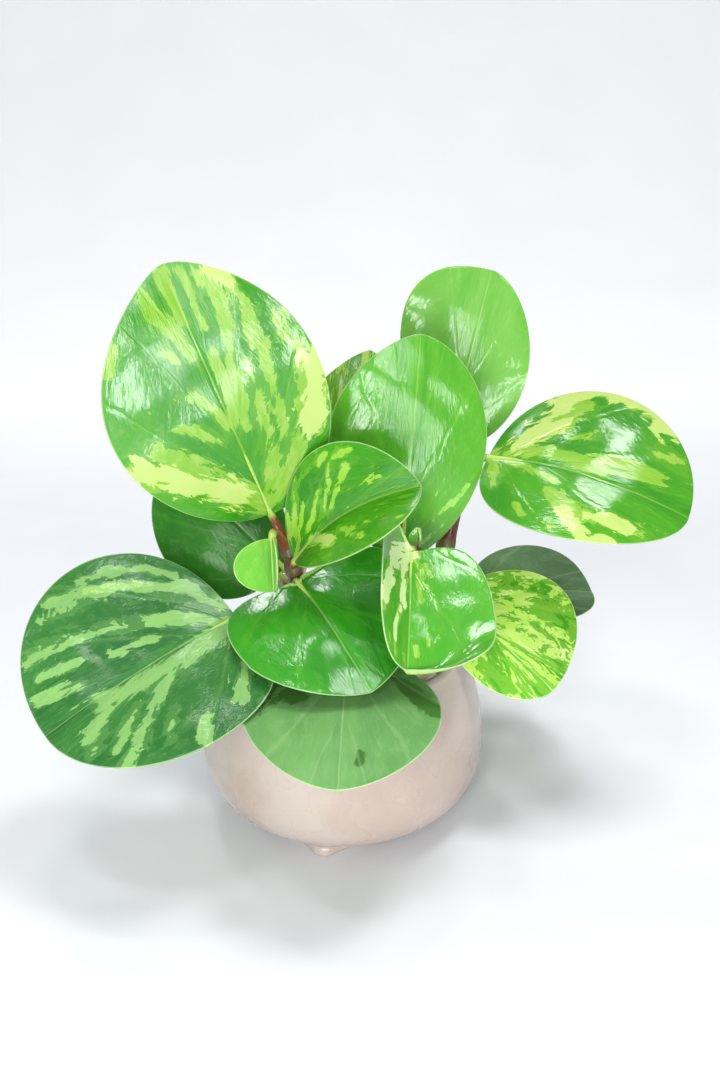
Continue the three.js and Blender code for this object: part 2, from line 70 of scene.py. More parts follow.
class Finish:
    """A surface finish as it is mixed: each call lays one more layer and hands it back."""

    def __init__(self, name):
        self.material = bpy.data.materials.new(name)
        self.material.use_nodes = True
        self.tree = self.material.node_tree
        self.tree.nodes.clear()
        self.skin = self.tree.nodes.new("ShaderNodeBsdfPrincipled")
        output = self.tree.nodes.new("ShaderNodeOutputMaterial")
        self.tree.links.new(self.skin.outputs["BSDF"], output.inputs["Surface"])

    def fill(self, socket, value):
        if isinstance(value, bpy.types.NodeSocket):
            self.tree.links.new(value, socket)
        elif socket.type == "RGBA" and len(value) == 3:
            socket.default_value = (*value, 1)
        else:
            socket.default_value = value

    def layer(self, kind, settings, values, result=0):
        node = self.tree.nodes.new(kind)
        for name, value in settings.items():
            setattr(node, name, value)
        for name, value in values.items():
            self.fill(node.inputs[name], value)
        return node.outputs[result]

    def mark(self, name):
        """What the mesh itself says at each point, by the name it was laid down under."""
        return self.layer("ShaderNodeAttribute", {"attribute_name": name}, {}, "Vector")

    def parts(self, vector):
        node = self.tree.nodes.new("ShaderNodeSeparateXYZ")
        self.fill(node.inputs[0], vector)
        return tuple(node.outputs)

    def place(self):
        return self.layer("ShaderNodeTexCoord", {}, {}, "Object")

    def stretch(self, vector, scale):
        return self.layer("ShaderNodeVectorMath", {"operation": "MULTIPLY"}, {0: vector, 1: scale})

    def cloud(self, vector, scale=1.0, detail=3.0, roughness=0.55, warp=0.0):
        return self.layer("ShaderNodeTexNoise", {}, {
            "Vector": vector, "Scale": scale, "Detail": detail, "Roughness": roughness,
            "Distortion": warp})

    def cells(self, vector, scale, **settings):
        values = {"Vector": vector, "Scale": scale}
        return self.layer("ShaderNodeTexVoronoi", settings, values, "Distance")

    def reckon(self, operation, first, second=0.0, third=0.0):
        return self.layer("ShaderNodeMath", {"operation": operation},
                          {0: first, 1: second, 2: third})

    def step(self, value, low, high, start=0.0, end=1.0):
        """Goes smoothly from start to end while the value goes from low to high."""
        values = {"Value": value, "From Min": low, "From Max": high, "To Min": start, "To Max": end}
        return self.layer("ShaderNodeMapRange", {"interpolation_type": "SMOOTHSTEP"}, values)

    def mix(self, share, under, over, way="MIX"):
        node = self.tree.nodes.new("ShaderNodeMix")
        node.data_type = "RGBA"
        node.blend_type = way
        self.fill(node.inputs[0], share)
        self.fill(node.inputs[6], under)
        self.fill(node.inputs[7], over)
        return node.outputs[2]

    def relief(self, height, strength, depth, below=None):
        values = {"Height": height, "Strength": strength, "Distance": depth}
        if below is not None:
            values["Normal"] = below
        return self.layer("ShaderNodeBump", {}, values)

    def close(self, **values):
        for name, value in values.items():
            self.fill(self.skin.inputs[name.replace("_", " ").title().replace("Ior", "IOR")], value)
        return self.material


def shade(red, green, blue):
    """A colour as it looks on a chart, from 0 to 255, turned into the strength of its light."""
    return tuple(((c / 255 + 0.055) / 1.055) ** 2.4 for c in (red, green, blue))


def make_piece(name, points, faces, material, node, marks=None):
    """One piece from points in millimetres, riding with the pot, in place of its plain solid."""
    mesh = bpy.data.meshes.new(name)
    mesh.from_pydata((np.asarray(points, float) / 1000).tolist(), [], faces)
    mesh.polygons.foreach_set("use_smooth", [True] * len(mesh.polygons))
    for mark, values in (marks or {}).items():
        layer = mesh.attributes.new(mark, "FLOAT_VECTOR", "POINT")
        layer.data.foreach_set("vector", np.asarray(values, np.float32).ravel())
    mesh.update()
    piece = bpy.data.objects.new(name, mesh)
    bpy.context.scene.collection.objects.link(piece)
    mesh.materials.append(material)
    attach(piece, "root")
    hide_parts(node)


def turn_z(points, angle):
    c, s = math.cos(angle), math.sin(angle)
    return points @ np.array([[c, s, 0], [-s, c, 0], [0, 0, 1]])


def bezier(points, count):
    s = np.linspace(0, 1, count)[:, None]
    a, b, c, d = (np.array(p, float) for p in points)
    return a * (1 - s) ** 3 + 3 * b * s * (1 - s) ** 2 + 3 * c * s * s * (1 - s) + d * s ** 3


def bowl_side(inset, count):
    """Half section of the bowl from its floor to under the rim, set in from its outer face."""
    heel, belly, rim = HEEL_RADIUS - inset, BELLY_RADIUS - inset, RIM_RADIUS - inset
    floor = FLOOR + inset if inset else FOOT_HEIGHT - 0.5
    lower = bezier([(heel, floor), (heel + 11, floor + 1.5), (belly, floor + 10),
                    (belly, BELLY_HEIGHT)], count)
    upper = bezier([(belly, BELLY_HEIGHT), (belly, BELLY_HEIGHT + 13), (rim + 6, POT_HEIGHT - 12),
                    (rim, POT_HEIGHT - WALL / 2)], count)
    return np.vstack([lower, upper[1:]])


def walls(rows, sides):
    """Four-sided faces between closed rings of points that follow each other."""
    faces = []
    for i in range(rows - 1):
        for j in range(sides):
            k = (j + 1) % sides
            faces.append((i * sides + j, i * sides + k, (i + 1) * sides + k, (i + 1) * sides + j))
    return faces


def moved(faces, shift):
    """The same faces, for points that stand further down the list."""
    return [tuple(i + shift for i in face) for face in faces]


def spin(section, sides, wobble=0.0):
    """Turns a section about the pot's axis, with the slight unevenness of a hand-thrown wall."""
    angles = np.linspace(0, 2 * np.pi, sides, endpoint=False)
    rounds = []
    for r, z in section:
        uneven = wobble * np.sin(2 * angles + z / 19) + 0.6 * wobble * np.sin(3 * angles - z / 11)
        reach = (r - wobble + uneven) if r > 1 else np.full(sides, r)
        rounds.append(np.column_stack([reach * np.cos(angles), reach * np.sin(angles),
                                       np.full(sides, z)]))
    return np.vstack(rounds), walls(len(section), sides)


def square_ring(half_side, z):
    """A square with rounded corners at one height, turned as the foot is."""
    corner = FOOT_CORNER - (FOOT_HALF_SIDE - half_side) * 0.9
    ring = []
    for quarter, (sx, sy) in enumerate([(1, 1), (-1, 1), (-1, -1), (1, -1)]):
        for angle in np.linspace(quarter * np.pi / 2, (quarter + 1) * np.pi / 2, 10):
            ring.append((sx * (half_side - corner) + corner * np.cos(angle),
                         sy * (half_side - corner) + corner * np.sin(angle), z))
    return turn_z(np.array(ring), math.radians(FOOT_TURN))


outside = bowl_side(0, 26)
lip = WALL / 2
roll = [(RIM_RADIUS - lip + lip * math.cos(a), POT_HEIGHT - lip + lip * math.sin(a))
        for a in np.linspace(0, np.pi, 13)[1:-1]]
inside = bowl_side(WALL, 20)[::-1]
section = np.vstack([[(0.01, FOOT_HEIGHT - 0.5)], outside, roll, inside, [(0.01, FLOOR + WALL)]])
bowl_points, bowl_faces = spin(section, BOWL_SIDES, BOWL_WOBBLE)

foot_edge = [(27.5, 0.0), (28.6, 0.12), (29.4, 0.5), (29.85, 1.1), (FOOT_HALF_SIDE, 2),
             (29.95, 3.2), (29.6, 4.0), (29.0, 4.45), (28.0, 4.6)]
foot_rings = [square_ring(half_side, z) for half_side, z in foot_edge]
foot_size = len(foot_rings[0])
foot_points = np.vstack(foot_rings)
foot_faces = [tuple(range(foot_size))[::-1]] + walls(len(foot_rings), foot_size)
foot_faces.append(tuple(range(len(foot_points) - foot_size, len(foot_points))))
pot_faces = bowl_faces + moved(foot_faces, len(bowl_points))

glaze = Finish("crazed_glaze")
clay_place = glaze.place()
drift = glaze.cloud(clay_place, 22, 3)
tone = glaze.mix(glaze.step(drift, 0.4, 0.62), shade(180, 168, 158), shade(170, 153, 142))
speck = glaze.cloud(clay_place, 260, 2)
tone = glaze.mix(glaze.step(speck, 0.62, 0.72, 0, 0.35), tone, shade(180, 160, 148))
bent = glaze.mix(0.02, clay_place, glaze.layer("ShaderNodeTexNoise", {}, {
    "Vector": clay_place, "Scale": 60.0, "Detail": 3.0}, 1), "ADD")
wide_cells = glaze.cells(bent, 105.0, feature="DISTANCE_TO_EDGE")
small_cells = glaze.cells(bent, 240.0, feature="DISTANCE_TO_EDGE")
wide_lines = glaze.step(wide_cells, 0.0, 0.03, 1, 0)
small_lines = glaze.reckon("MULTIPLY", glaze.step(small_cells, 0.0, 0.04, 1, 0),
                           glaze.step(drift, 0.5, 0.66, 0, 0.5))
crazing = glaze.reckon("MAXIMUM", wide_lines, small_lines)
tone = glaze.mix(glaze.reckon("MULTIPLY", crazing, 0.13), tone, shade(150, 124, 114))
bare_clay = glaze.step(glaze.parts(clay_place)[2], 0.0004, 0.001, 1, 0)
tone = glaze.mix(bare_clay, tone, shade(186, 160, 138))
soft = glaze.relief(glaze.cloud(clay_place, 45, 2), 0.12, 0.001)
fine = glaze.relief(crazing, 0.12, 0.0002, soft)
pot_finish = glaze.close(
    base_color=tone, roughness=glaze.step(drift, 0.3, 0.7, 0.2, 0.3), normal=fine,
    coat_weight=0.4, coat_roughness=0.08, subsurface_weight=0.06,
    subsurface_radius=(0.004, 0.0025, 0.002), subsurface_scale=1.0)
make_piece("glazed_pot", np.vstack([bowl_points, foot_points]), pot_faces, pot_finish,
           "ceramic_pot")

# --- The soil ---
# Dark potting soil fills the pot to a finger's width under the rim. Only slivers of it show
# between the pebbles, so it keeps its plain shape and gets crumbs of bark, grit and fibre.
earth = Finish("potting_soil")
crumbs = earth.cells(earth.place(), 420.0)
grain = earth.cloud(earth.place(), 300, 5)
dirt = earth.mix(earth.step(grain, 0.35, 0.65), shade(38, 26, 20), shade(82, 60, 44))
dirt = earth.mix(earth.step(crumbs, 0.1, 0.25, 0.5, 0), dirt, shade(118, 92, 70))
soil_finish = earth.close(base_color=dirt, roughness=0.95,
                          normal=earth.relief(earth.reckon("ADD", grain, crumbs), 0.8, 0.002))
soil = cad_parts["soil"]
soil.data.materials.clear()
soil.data.materials.append(soil_finish)

# --- The pebbles ---
# A top dressing of river pebbles, beige, brown and grey, tumbled smooth and laid by hand on a
# thin bed of grit that hides the soil.
BED_BOTTOM = 52.9
BED_TOP = 55.6
BED_EDGE = 40.2
PEBBLES = 40
SMALL_PEBBLES = 190
PEBBLE_SEED = 11


def pebble_draws(state):
    """The same run of chance numbers that lays the plain pebbles."""
    while True:
        state = (state * 16807) % 2147483647
        yield state / 2147483647


def round_stone(detail):
    """A ball of even triangles, as points and faces."""
    gold = (1 + 5 ** 0.5) / 2
    corners = [(-1, gold, 0), (1, gold, 0), (-1, -gold, 0), (1, -gold, 0), (0, -1, gold),
               (0, 1, gold), (0, -1, -gold), (0, 1, -gold), (gold, 0, -1), (gold, 0, 1),
               (-gold, 0, -1), (-gold, 0, 1)]
    faces = [(0, 11, 5), (0, 5, 1), (0, 1, 7), (0, 7, 10), (0, 10, 11), (1, 5, 9), (5, 11, 4),
             (11, 10, 2), (10, 7, 6), (7, 1, 8), (3, 9, 4), (3, 4, 2), (3, 2, 6), (3, 6, 8),
             (3, 8, 9), (4, 9, 5), (2, 4, 11), (6, 2, 10), (8, 6, 7), (9, 8, 1)]
    points = [np.array(p) / np.linalg.norm(p) for p in corners]
    for _ in range(detail):
        middles, finer = {}, []
        for a, b, c in faces:
            trio = []
            for i, j in ((a, b), (b, c), (c, a)):
                key = (min(i, j), max(i, j))
                if key not in middles:
                    middles[key] = len(points)
                    middle = points[i] + points[j]
                    points.append(middle / np.linalg.norm(middle))
                trio.append(middles[key])
            ab, bc, ca = trio
            finer += [(a, ab, ca), (b, bc, ab), (c, ca, bc), (ab, bc, ca)]
        faces = finer
    return np.array(points), faces


def turn_x(points, angle):
    c, s = math.cos(angle), math.sin(angle)
    return points @ np.array([[1, 0, 0], [0, c, s], [0, -s, c]])


ball, ball_faces = round_stone(3)
chance = np.random.default_rng(PEBBLE_SEED)
stones = []
draw = pebble_draws(PEBBLE_SEED)
golden = math.pi * (3 - math.sqrt(5))
for i in range(PEBBLES):
    size = 3.6 + 2.6 * next(draw)
    reach = (BED_EDGE - size) * math.sqrt((i + 0.5) / PEBBLES)
    angle = i * golden + 0.3 * next(draw)
    next(draw)
    depth = size * (0.65 + 0.3 * next(draw))
    spin_angle, tilt = 6 * next(draw), 0.3 * (next(draw) - 0.5)
    stones.append((size * 0.98, depth, size * 0.62, spin_angle, tilt,
                   (reach * math.cos(angle), reach * math.sin(angle), BED_TOP + 0.8 * next(draw))))
for i in range(SMALL_PEBBLES):
    size = chance.uniform(1.2, 2.9)
    reach = (BED_EDGE - size - 0.3) * math.sqrt(chance.random())
    angle = chance.random() * 2 * math.pi
    stones.append((size, size * chance.uniform(0.7, 1), size * 0.7, chance.random() * 6,
                   chance.uniform(-0.3, 0.3),
                   (reach * math.cos(angle), reach * math.sin(angle),
                    BED_TOP + chance.uniform(-0.6, 1.2))))
stone_points, stone_faces, stone_marks = [], [], []
for size, depth, height, spin_angle, tilt, centre in stones:
    lump = ball.copy()
    for _ in range(3):
        aim = chance.normal(size=3)
        aim /= np.linalg.norm(aim)
        ripple = np.sin(chance.uniform(1.5, 2.6) * (ball @ aim) + chance.random() * 6)
        lump *= 1 + 0.07 * ripple[:, None]
    lump = np.sign(lump) * abs(lump) ** 0.9
    lump = turn_x(turn_z(lump * (size, depth, height), spin_angle), tilt) * 0.97 + centre
    stone_faces += moved(ball_faces, sum(len(p) for p in stone_points))
    stone_points.append(lump)
    stone_marks.append(np.tile(chance.random(3), (len(lump), 1)))
bed_section = [(0.01, BED_BOTTOM), (42.5, BED_BOTTOM), (42.2, 54.4), (41.6, BED_TOP - 0.2),
               (30, BED_TOP), (15, BED_TOP), (0.01, BED_TOP)]
bed_points, bed_faces = spin(bed_section, 72)
stone_faces += moved(bed_faces, sum(len(p) for p in stone_points))
stone_points.append(bed_points)
stone_marks.append(np.tile([-1, 0.5, 0.5], (len(bed_points), 1)))

stone = Finish("river_pebble")
which, warm, pale = stone.parts(stone.mark("stone"))
mottle = stone.cloud(stone.place(), 190, 4)
flecks = stone.cloud(stone.place(), 900, 2)
beige = stone.mix(pale, shade(196, 178, 150), shade(226, 214, 194))
brown = stone.mix(warm, shade(104, 84, 62), shade(146, 118, 88))
grey = stone.mix(pale, shade(112, 110, 104), shade(160, 156, 148))
body = stone.mix(stone.step(which, 0.5, 0.52), beige, brown)
body = stone.mix(stone.step(which, 0.8, 0.82), body, grey)
body = stone.mix(stone.step(mottle, 0.35, 0.7, 0, 0.45), body, shade(96, 80, 62))
body = stone.mix(stone.step(flecks, 0.6, 0.75, 0, 0.4), body, shade(238, 230, 214))
body = stone.mix(stone.step(which, -0.5, -0.1, 1, 0), body, shade(52, 42, 34))
pebble_finish = stone.close(base_color=body, roughness=stone.step(mottle, 0.3, 0.7, 0.5, 0.75),
                            normal=stone.relief(stone.reckon("ADD", mottle, flecks), 0.25, 0.0006))
make_piece("pebble_dressing", np.vstack(stone_points), stone_faces, pebble_finish, "pebbles",
           {"stone": np.vstack(stone_marks)})

# --- The stems ---
# Three fleshy stems, red-brown and slightly ribbed, grow up out of the soil. Each swells into an
# olive ring where a leaf stalk leaves it, and ends blunt at its growing tip.
STEM_SIDES = 24
RING_LENGTH = 2.6
RIDGE_LENGTH = 0.45
STEMS = {
    "stem_left": dict(
        through=[(-6, -1, 38.5), (-8, -2, 56), (-13, -6, 80), (-17, -9, 99), (-19.5, -9, 108.5)],
        radius=(3.1, 2.5), joints=(107.5, 92, 80, 74, 91, 97, 104, 66, 76, 68)),
    "stem_right": dict(
        through=[(20, 6, 38.5), (24, 8, 56), (33, 15, 80), (38.5, 19.5, 96), (41, 21, 108),
                 (43.7, 21, 120), (45.5, 19, 126)],
        radius=(3.4, 2.9), joints=(84, 112, 123.5, 73, 96, 68)),
    "stem_centre": dict(
        through=[(14, -2, 38.5), (17, -3, 56), (25, -5, 80), (27, -9, 96), (25.5, -11, 104)],
        radius=(3, 2.5), joints=(95, 103, 78)),
}


def stem_line(through):
    """A smooth curve through the stem's points, as a close row of points along it."""
    p = np.array(through, float)
    p = np.vstack([2 * p[0] - p[1], p, 2 * p[-1] - p[-2]])
    line = []
    for i in range(1, len(p) - 2):
        gap = [np.linalg.norm(p[i + k] - p[i + k - 1]) ** 0.5 for k in range(3)]
        start = ((p[i] - p[i - 1]) / gap[0] - (p[i + 1] - p[i - 1]) / (gap[0] + gap[1])
                 + (p[i + 1] - p[i]) / gap[1]) * gap[1]
        end = ((p[i + 1] - p[i]) / gap[1] - (p[i + 2] - p[i]) / (gap[1] + gap[2])
               + (p[i + 2] - p[i + 1]) / gap[2]) * gap[1]
        s = np.linspace(0, 1, 33)[:, None]
        s = s[:-1] if i < len(p) - 3 else s
        line.append(p[i] + start * s + (3 * (p[i + 1] - p[i]) - 2 * start - end) * s ** 2
                    + (2 * (p[i] - p[i + 1]) + start + end) * s ** 3)
    return np.vstack(line)


def at_height(line, z):
    return np.array([np.interp(z, line[:, 2], line[:, k]) for k in range(3)])


def tube(centres, radii, sides, ribs=0.0):
    """A closed round stalk of changing thickness along a row of centres."""
    centres = np.asarray(centres, float)
    along = np.gradient(centres, axis=0)
    along /= np.linalg.norm(along, axis=1)[:, None]
    angles = np.linspace(0, 2 * np.pi, sides, endpoint=False)
    across = np.array([0.0, 1.0, 0.0])
    points = []
    for centre, ahead, radius in zip(centres, along, radii):
        across = across - ahead * across.dot(ahead)
        across /= np.linalg.norm(across)
        up = np.cross(ahead, across)
        reach = radius * (1 + ribs * np.sin(5 * angles) + 0.5 * ribs * np.sin(8 * angles + 1))
        points.append(centre + np.outer(reach * np.cos(angles), across)
                      + np.outer(reach * np.sin(angles), up))
    faces = walls(len(centres), sides) + [tuple(range(sides))[::-1]]
    faces.append(tuple(range((len(centres) - 1) * sides, len(centres) * sides)))
    return np.vstack(points), faces


bark = Finish("fleshy_stem")
ring_share = bark.parts(bark.mark("stem"))[1]
stem_place = bark.place()
streaks = bark.cloud(bark.stretch(stem_place, (900.0, 900.0, 90.0)), 1, 3)
patches = bark.cloud(stem_place, 130, 3)
rind = bark.mix(bark.step(streaks, 0.35, 0.65), shade(66, 25, 15), shade(106, 46, 29))
rind = bark.mix(bark.step(patches, 0.5, 0.7, 0, 0.6), rind, shade(80, 70, 31))
rind = bark.mix(bark.reckon("MULTIPLY", ring_share, 0.75), rind, shade(94, 90, 40))
stem_finish = bark.close(
    base_color=rind, roughness=0.42, coat_weight=0.15, coat_roughness=0.2,
    normal=bark.relief(bark.reckon("ADD", streaks, patches), 0.35, 0.0005),
    subsurface_weight=0.05, subsurface_radius=(0.003, 0.0015, 0.0008), subsurface_scale=1.0)

stem_lines = {}
for name, stem in STEMS.items():
    line = stem_line(stem["through"])
    stem_lines[name] = line
    lengths = np.concatenate([[0], np.cumsum(np.linalg.norm(np.diff(line, axis=0), axis=1))])
    share = lengths / lengths[-1]
    foot, top = stem["radius"]
    apart = line[:, 2][:, None] - np.array(stem["joints"])
    swollen = np.exp(-(apart / RING_LENGTH) ** 2).max(axis=1)
    ridge = np.exp(-((apart + 1.4) / RIDGE_LENGTH) ** 2).max(axis=1)
    radii = foot + (top - foot) * share + 0.55 * swollen + 0.14 * ridge
    onward = line[-1] - line[-2]
    centres = np.vstack([line, line[-1] + onward * 0.35, line[-1] + onward * 0.5])
    radii = np.concatenate([radii, [radii[-1] * 0.8, radii[-1] * 0.4]])
    points, faces = tube(centres, radii, STEM_SIDES, 0.02)
    marks = np.column_stack([np.repeat(np.append(share, [1, 1]), STEM_SIDES),
                             np.repeat(np.append(swollen, [1, 1]), STEM_SIDES),
                             np.zeros(len(points))])
    make_piece(name + "_bark", points, faces, stem_finish, name, {"stem": marks})

# --- The big variegated leaves ---
# Thick, waxy leaves, each one skin with its stalk. The green is broken by lime and cream patches
# that run out along the side veins, with ragged edges, and a thin pale line edges the blade.
LEAF_THICKNESS = 1.2
EDGE_THINNING = 0.72
GROOVE_WIDTH = 0.7
RIB_DEPTH = 0.75
RIB_WIDTH = 1.5
PUCKER_LENGTHS = (34, 23, 15, 11)
STALK_RADIUS = 1.7
STALK_SIDES = 16


def side_of(pair, left):
    """The left half's value where left is true, else the right half's."""
    first, second = pair if isinstance(pair, tuple) else (pair, pair)
    return np.where(left, first, second)


def bell(angle, bump):
    return np.exp(-((np.degrees(angle) - bump["angle"]) / bump["spread"]) ** 2)


def leaf_margin(leaf, angle):
    """The edge of the blade laid flat: how far along the midrib, and how far to its left."""
    c, s = np.cos(angle), np.sin(angle)
    left = s > 0
    t = (1 + c) / 2
    a, b = (side_of(fullness, left) for fullness in leaf["fullness"])
    peak = (a / (a + b)) ** a * (b / (a + b)) ** b
    share = np.clip(t, 0, 1) ** a * np.clip(1 - t, 0, 1) ** b / peak
    pinch, spread = leaf.get("point", (0, 30))
    from_tip = np.degrees(np.arccos(np.clip(c, -1, 1)))
    share = share * (1 - pinch * np.exp(-(from_tip / spread) ** 2))
    lobe = side_of(leaf.get("lobe", 0), left) * abs(s) ** 1.2 * np.clip(-c, 0, 1) ** 0.8
    return t - lobe, np.sign(s) * share * side_of(leaf["width"], left)


def leaf_midrib(leaf, t):
    """The arched midrib: its points at t, and the ways along it, up from it and to its left."""
    t = np.asarray(t, float)[..., None]
    base, tip = np.array(leaf["base"], float), np.array(leaf["tip"], float)
    length = np.linalg.norm(tip - base)
    chord = (tip - base) / length
    up = np.array(leaf["faces"], float)
    up -= chord * up.dot(chord)
    up /= np.linalg.norm(up)
    bend = math.radians(leaf["bend"]) or 1e-6
    angle = bend * (t - 0.5)
    radius = length / (2 * math.sin(bend / 2))
    forward = radius * np.sin(angle) + length / 2
    rise = radius * (np.cos(angle) - math.cos(bend / 2))
    aside = np.cross(up, chord) * 4 * leaf.get("sweep", 0) * t * (1 - t)
    along = chord * np.cos(angle) - up * np.sin(angle)
    above = up * np.cos(angle) + chord * np.sin(angle)
    return base + chord * forward + up * rise + aside, along, above, np.cross(above, along)


def leaf_surface(leaf, t, across, angle, out):
    """Points of the upper face from their place on the blade laid flat."""
    point, _, above, left = leaf_midrib(leaf, t)
    on_left = across > 0
    sign = np.where(on_left, 1.0, -1.0)
    far = abs(across)
    width = side_of(leaf["width"], on_left)
    fold = np.radians(side_of(leaf["fold"], on_left))
    curl = np.radians(side_of(leaf["curl"], on_left)) / width
    curl = np.where(abs(curl) < 1e-6, 1e-6, curl)
    reach = (np.sin(fold + curl * far) - np.sin(fold)) / curl
    rise = (np.cos(fold) - np.cos(fold + curl * far)) / curl
    if "wave" in leaf:
        height, waves, start = leaf["wave"]
        phase = waves * t + start + np.where(on_left, 0, 0.37)
        rise = rise + height * np.sin(2 * np.pi * phase) * (far / width) ** 2
    if "lip" in leaf:
        rise = rise + leaf["lip"]["height"] * bell(angle, leaf["lip"]) * out ** leaf["lip"]["sharp"]
    return point + left * (sign * reach)[..., None] + above * rise[..., None]


LEAN_FROM = (-0.6, -0.25, 0, 0.12, 0.3, 0.6, 1)
LEAN = np.radians([150, 105, 60, 40, 21, 14, 10])
FIRST_FOOT = -2.0
LAST_FOOT = 1.2


def vein_foot(x, y, length):
    """Where on the midrib the side vein through each point starts, and how far along it that is."""
    low, high = np.full_like(x, FIRST_FOOT), np.full_like(x, LAST_FOOT)
    for _ in range(30):
        foot = (low + high) / 2
        lean = np.interp(foot, LEAN_FROM, LEAN)
        short = foot * length + abs(y) / np.tan(lean) + 0.35 * y * y / length < x
        low, high = np.where(short, foot, low), np.where(short, high, foot)
    return foot, np.hypot(x - foot * length, y)


def strokes_at(strokes, x, y, leaf, background):
    """How deep each point lies in the patches: 1 in the middle of a stroke and 0 at its edge.

    A stroke is half its width in millimetres and then its route, each place in percent: how far
    along the midrib, and how far out from it, with a minus on the right half.
    """
    length = np.linalg.norm(np.subtract(leaf["tip"], leaf["base"]))
    depth = np.full_like(x, background)
    for half_width, *route in strokes:
        places = []
        for percent_along, percent_out in route:
            t, u = percent_along / 100, percent_out / 100
            angle = math.acos(2 * t - 1) * (1 if u > 0 else -1)
            edge = leaf_margin(leaf, np.array(angle))[1]
            places.append(np.array([t * length, abs(u) * float(edge)]))
        for a, b in zip(places, places[1:]):
            ahead = b - a
            s = ((x - a[0]) * ahead[0] + (y - a[1]) * ahead[1]) / ahead.dot(ahead)
            s = np.clip(s, 0, 1)
            away = np.hypot(x - a[0] - s * ahead[0], y - a[1] - s * ahead[1])
            depth = np.maximum(depth, 1 - away / half_width)
    return depth


def leaf_grid(leaf, widest, columns):
    """The blade laid flat: where its points lie, the faces between, and the loop of its edge."""
    near = np.array([v for v in (0.0, 0.35, 0.75, 1.3, 2.1, 3.2) if v < widest * 0.5])
    rest = np.arange(4.6, widest - 1.2, leaf.get("across_step", 1.7))
    steps = np.concatenate([near / widest, rest / widest, [0.975, 1.0]])
    u = np.concatenate([-steps[:0:-1], steps])
    angles = np.linspace(0, np.pi, columns + 1)[1:-1]
    angles = angles - 0.18 * np.sin(2 * angles)
    k, v = np.meshgrid(angles, u, indexing="ij")
    signed = np.where(v > 0, k, 2 * np.pi - k)
    edge_t, edge_across = leaf_margin(leaf, signed)
    own_t = (1 + np.cos(k)) / 2
    t = own_t + abs(v) * (edge_t - own_t)
    t = np.concatenate([[1.0], t.ravel(), [0.0]])
    across = np.concatenate([[0.0], (abs(v) * edge_across).ravel(), [0.0]])
    signed = np.concatenate([[0.0], signed.ravel(), [np.pi]])
    out = np.concatenate([[1.0], abs(v).ravel(), [1.0]])

    rows, last = len(u), len(t) - 1

    def at(i, j):
        return 1 + i * rows + j

    faces = []
    for j in range(rows - 1):
        faces.append((0, at(0, j + 1), at(0, j)))
        faces.append((at(columns - 2, j + 1), last, at(columns - 2, j)))
        for i in range(columns - 2):
            faces.append((at(i, j + 1), at(i + 1, j + 1), at(i + 1, j), at(i, j)))
    loop = [0] + [at(i, rows - 1) for i in range(columns - 1)] + [last]
    loop += [at(i, 0) for i in range(columns - 2, -1, -1)]
    return t, across, signed, out, faces, np.array(loop)


def face_normals(points, faces):
    """At each point, the way that the faces around it look on average."""
    normal = np.zeros_like(points)
    for corners in (3, 4):
        group = np.array([f for f in faces if len(f) == corners])
        first = points[group[:, 0]]
        cross = np.cross(points[group[:, 1]] - first, points[group[:, -1]] - first)
        for corner in range(corners):
            np.add.at(normal, group[:, corner], cross)
    return normal / np.linalg.norm(normal, axis=1)[:, None]


def leaf_stalk(leaf, size):
    """The stalk, out of its stem and on as a taper under the midrib, with the way run along it."""
    start = at_height(stem_lines[leaf["stem"]], leaf["joins"])
    base, along, above, _ = leaf_midrib(leaf, 0.0)
    base = base - above * 0.6
    knee = base - along * leaf.get("knee", 0.4) * np.linalg.norm(base - start)
    s = np.linspace(0, 1, 19)[:, None]
    centres = start * (1 - s) ** 2 + 2 * knee * s * (1 - s) + base * s ** 2
    run = s[:, 0]
    radii = STALK_RADIUS - 0.4 * run + 0.35 * np.exp(-(run / 0.12) ** 2)
    taper = np.linspace(0.03, 0.36, 9)
    point, _, above, _ = leaf_midrib(leaf, taper)
    centres = np.vstack([centres, point - above * 0.95])
    radii = np.concatenate([radii, np.interp(taper, [0, 0.36], [1.2, 0.4])]) * size
    run = np.concatenate([run, np.ones(len(taper))])
    return *tube(centres, radii, STALK_SIDES), np.repeat(run, STALK_SIDES)


